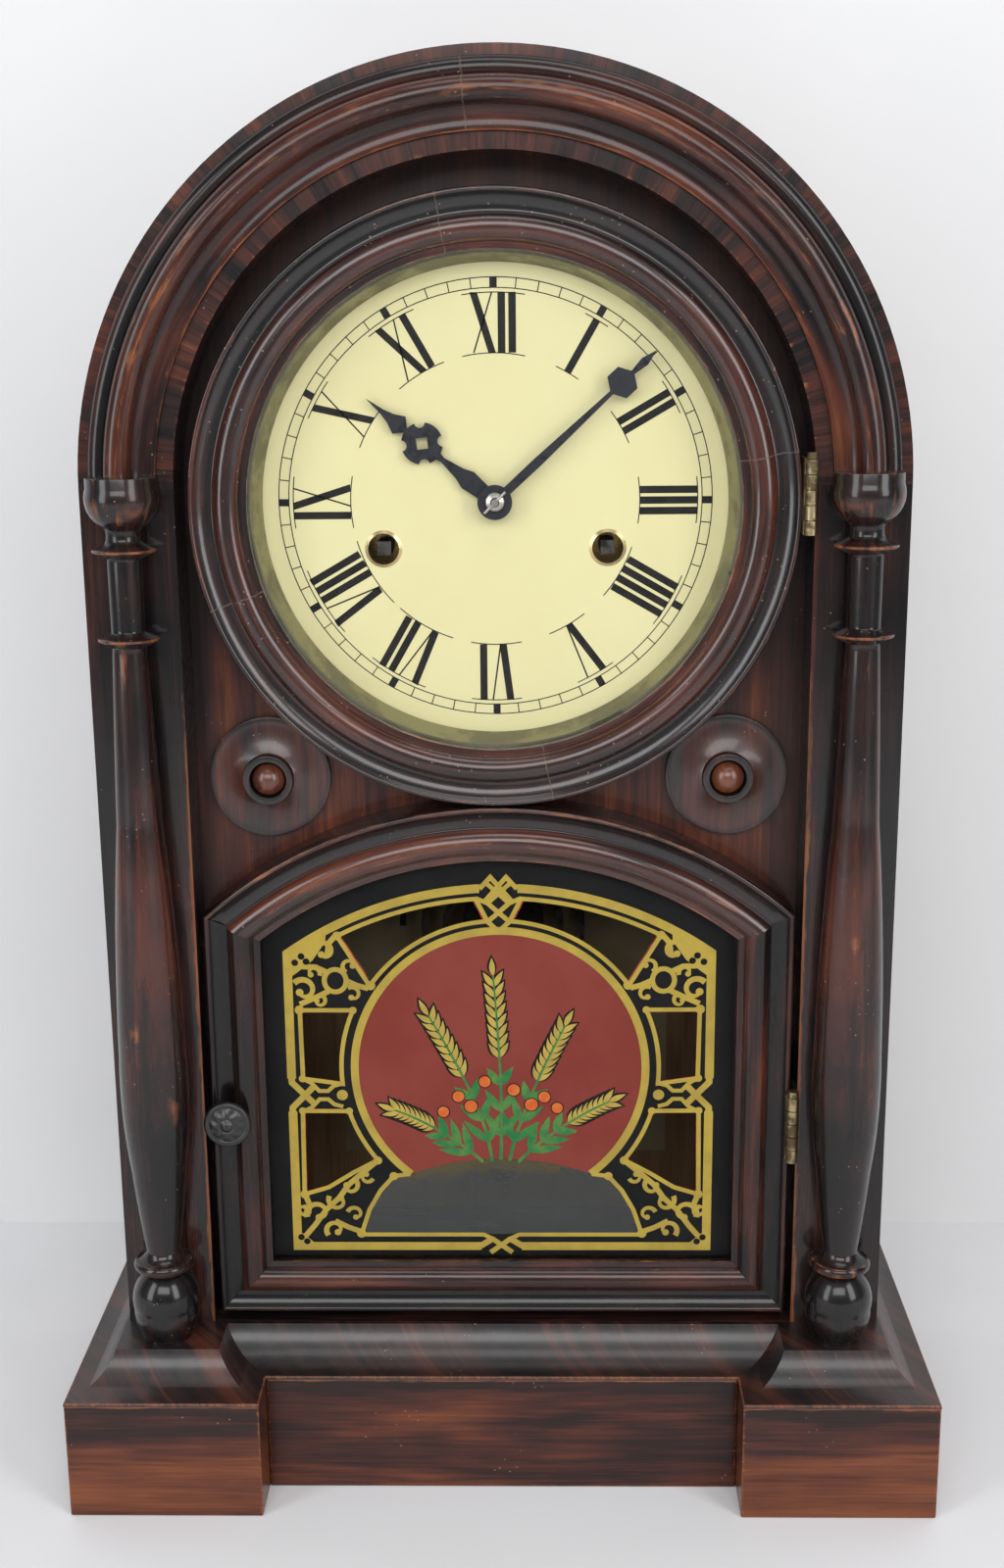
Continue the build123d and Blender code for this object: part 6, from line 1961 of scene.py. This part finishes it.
@dataclass
class Studio:
    """Pale floor and wall, soft boxes and the camera."""

    wall_y: float = 0.150
    reach: float = 3.0
    aim: Spot = (0.0, 0.0, 0.25)
    lamps: tuple[Lamp, ...] = (
        Lamp("soft_box_front", (-0.05, -1.25, 0.90), (1.1, 0.5), 8.5),
        Lamp("soft_box_right", (1.00, -1.00, 0.75), (0.5, 1.1), 9.0),
        Lamp("soft_box_left", (-1.05, -0.90, 0.65), (0.45, 1.1), 7.5, (0.95, 0.975, 1.0)),
        Lamp("soft_box_top", (0.1, -0.5, 1.7), (0.9, 0.5), 4.0),
    )
    world_colour: Colour = (0.93, 0.95, 1.0)
    world_strength: float = 0.24
    lens: float = 42.063
    camera_spot: Spot = (0.0132, -0.6032, 0.3851)
    yaw: float = -0.02
    pitch: float = 0.238
    roll: float = -0.009

    def sheet(self, name: str, corners: Sequence[Spot], colour: Colour, drift: Colour) -> None:
        """Makes a flat stage sheet.

        Args:
            name: Its name.
            corners: Its corners in metres.
            colour: Its colour.
            drift: The colour that it drifts to.
        """
        mesh = bpy.data.meshes.new(name)
        mesh.from_pydata([Vector(corner) for corner in corners], [], [tuple(range(len(corners)))])
        paint = Paint(name + "_paint", colour, drift, scale=3.0, rough=0.75, chips=-0.2, one_sided=True)
        mesh.materials.append(paint.make())
        sheet = bpy.data.objects.new(name, mesh)
        bpy.context.scene.collection.objects.link(sheet)

    def light(self) -> None:
        """Hangs the soft boxes and sets the world."""
        for lamp in self.lamps:
            data = bpy.data.lights.new(lamp.name, "AREA")
            data.shape = "RECTANGLE"
            data.size, data.size_y = lamp.size
            data.energy = lamp.power
            data.color = lamp.colour
            box = bpy.data.objects.new(lamp.name, data)
            box.location = lamp.spot
            box.rotation_euler = (Vector(self.aim) - Vector(lamp.spot)).to_track_quat("-Z", "Y").to_euler()
            bpy.context.scene.collection.objects.link(box)
        world = bpy.data.worlds.new("studio_world")
        world.use_nodes = True
        background = world.node_tree.nodes["Background"]
        background.inputs[0].default_value = (*self.world_colour, 1.0)
        background.inputs[1].default_value = self.world_strength
        bpy.context.scene.world = world

    def shoot(self) -> None:
        """Sets the camera at the photograph's place."""
        data = bpy.data.cameras.new("camera")
        data.sensor_fit = "VERTICAL"
        data.sensor_height = 36.0
        data.lens = self.lens
        data.clip_start = 0.02
        level = math.cos(self.pitch)
        forward = Vector((math.sin(self.yaw) * level, math.cos(self.yaw) * level, -math.sin(self.pitch)))
        right = forward.cross(Vector((0, 0, 1))).normalized()
        up = right.cross(forward)
        steady, lean = math.cos(self.roll), math.sin(self.roll)
        turned_right = right * steady + up * lean
        turned_up = up * steady - right * lean
        camera = bpy.data.objects.new("camera", data)
        matrix = Matrix((turned_right, turned_up, -forward)).transposed().to_4x4()
        matrix.translation = Vector(self.camera_spot)
        camera.matrix_world = matrix
        bpy.context.scene.collection.objects.link(camera)
        bpy.context.scene.camera = camera
        bpy.context.scene.view_settings.view_transform = "Standard"

    def build(self) -> None:
        """Sets the stage: the wall is clear from behind, where the floor goes on."""
        reach, wall = self.reach, self.wall_y
        floor = [(-reach, -reach, 0), (reach, -reach, 0), (reach, reach, 0), (-reach, reach, 0)]
        backdrop = [(-reach, wall, 0), (reach, wall, 0), (reach, wall, reach), (-reach, wall, reach)]
        self.sheet("floor", floor, (0.775, 0.775, 0.785), (0.82, 0.82, 0.83))
        self.sheet("backdrop", backdrop, (0.715, 0.715, 0.72), (0.755, 0.755, 0.76))
        self.light()
        self.shoot()


def main() -> None:
    """Builds every sub-assembly in order."""
    logging.basicConfig(level=logging.INFO, format="%(name)s: %(message)s")
    for assembly in (Studio(), CaseBoards(), ArchMoulding(), Columns(), Roundels(), Base(), DialDoor(),
                     LowerDoor(), Tablet(), Dial(), Fittings()):
        assembly.build()
        log.info("%s is done", type(assembly).__name__)


if __name__ == "__main__":
    main()
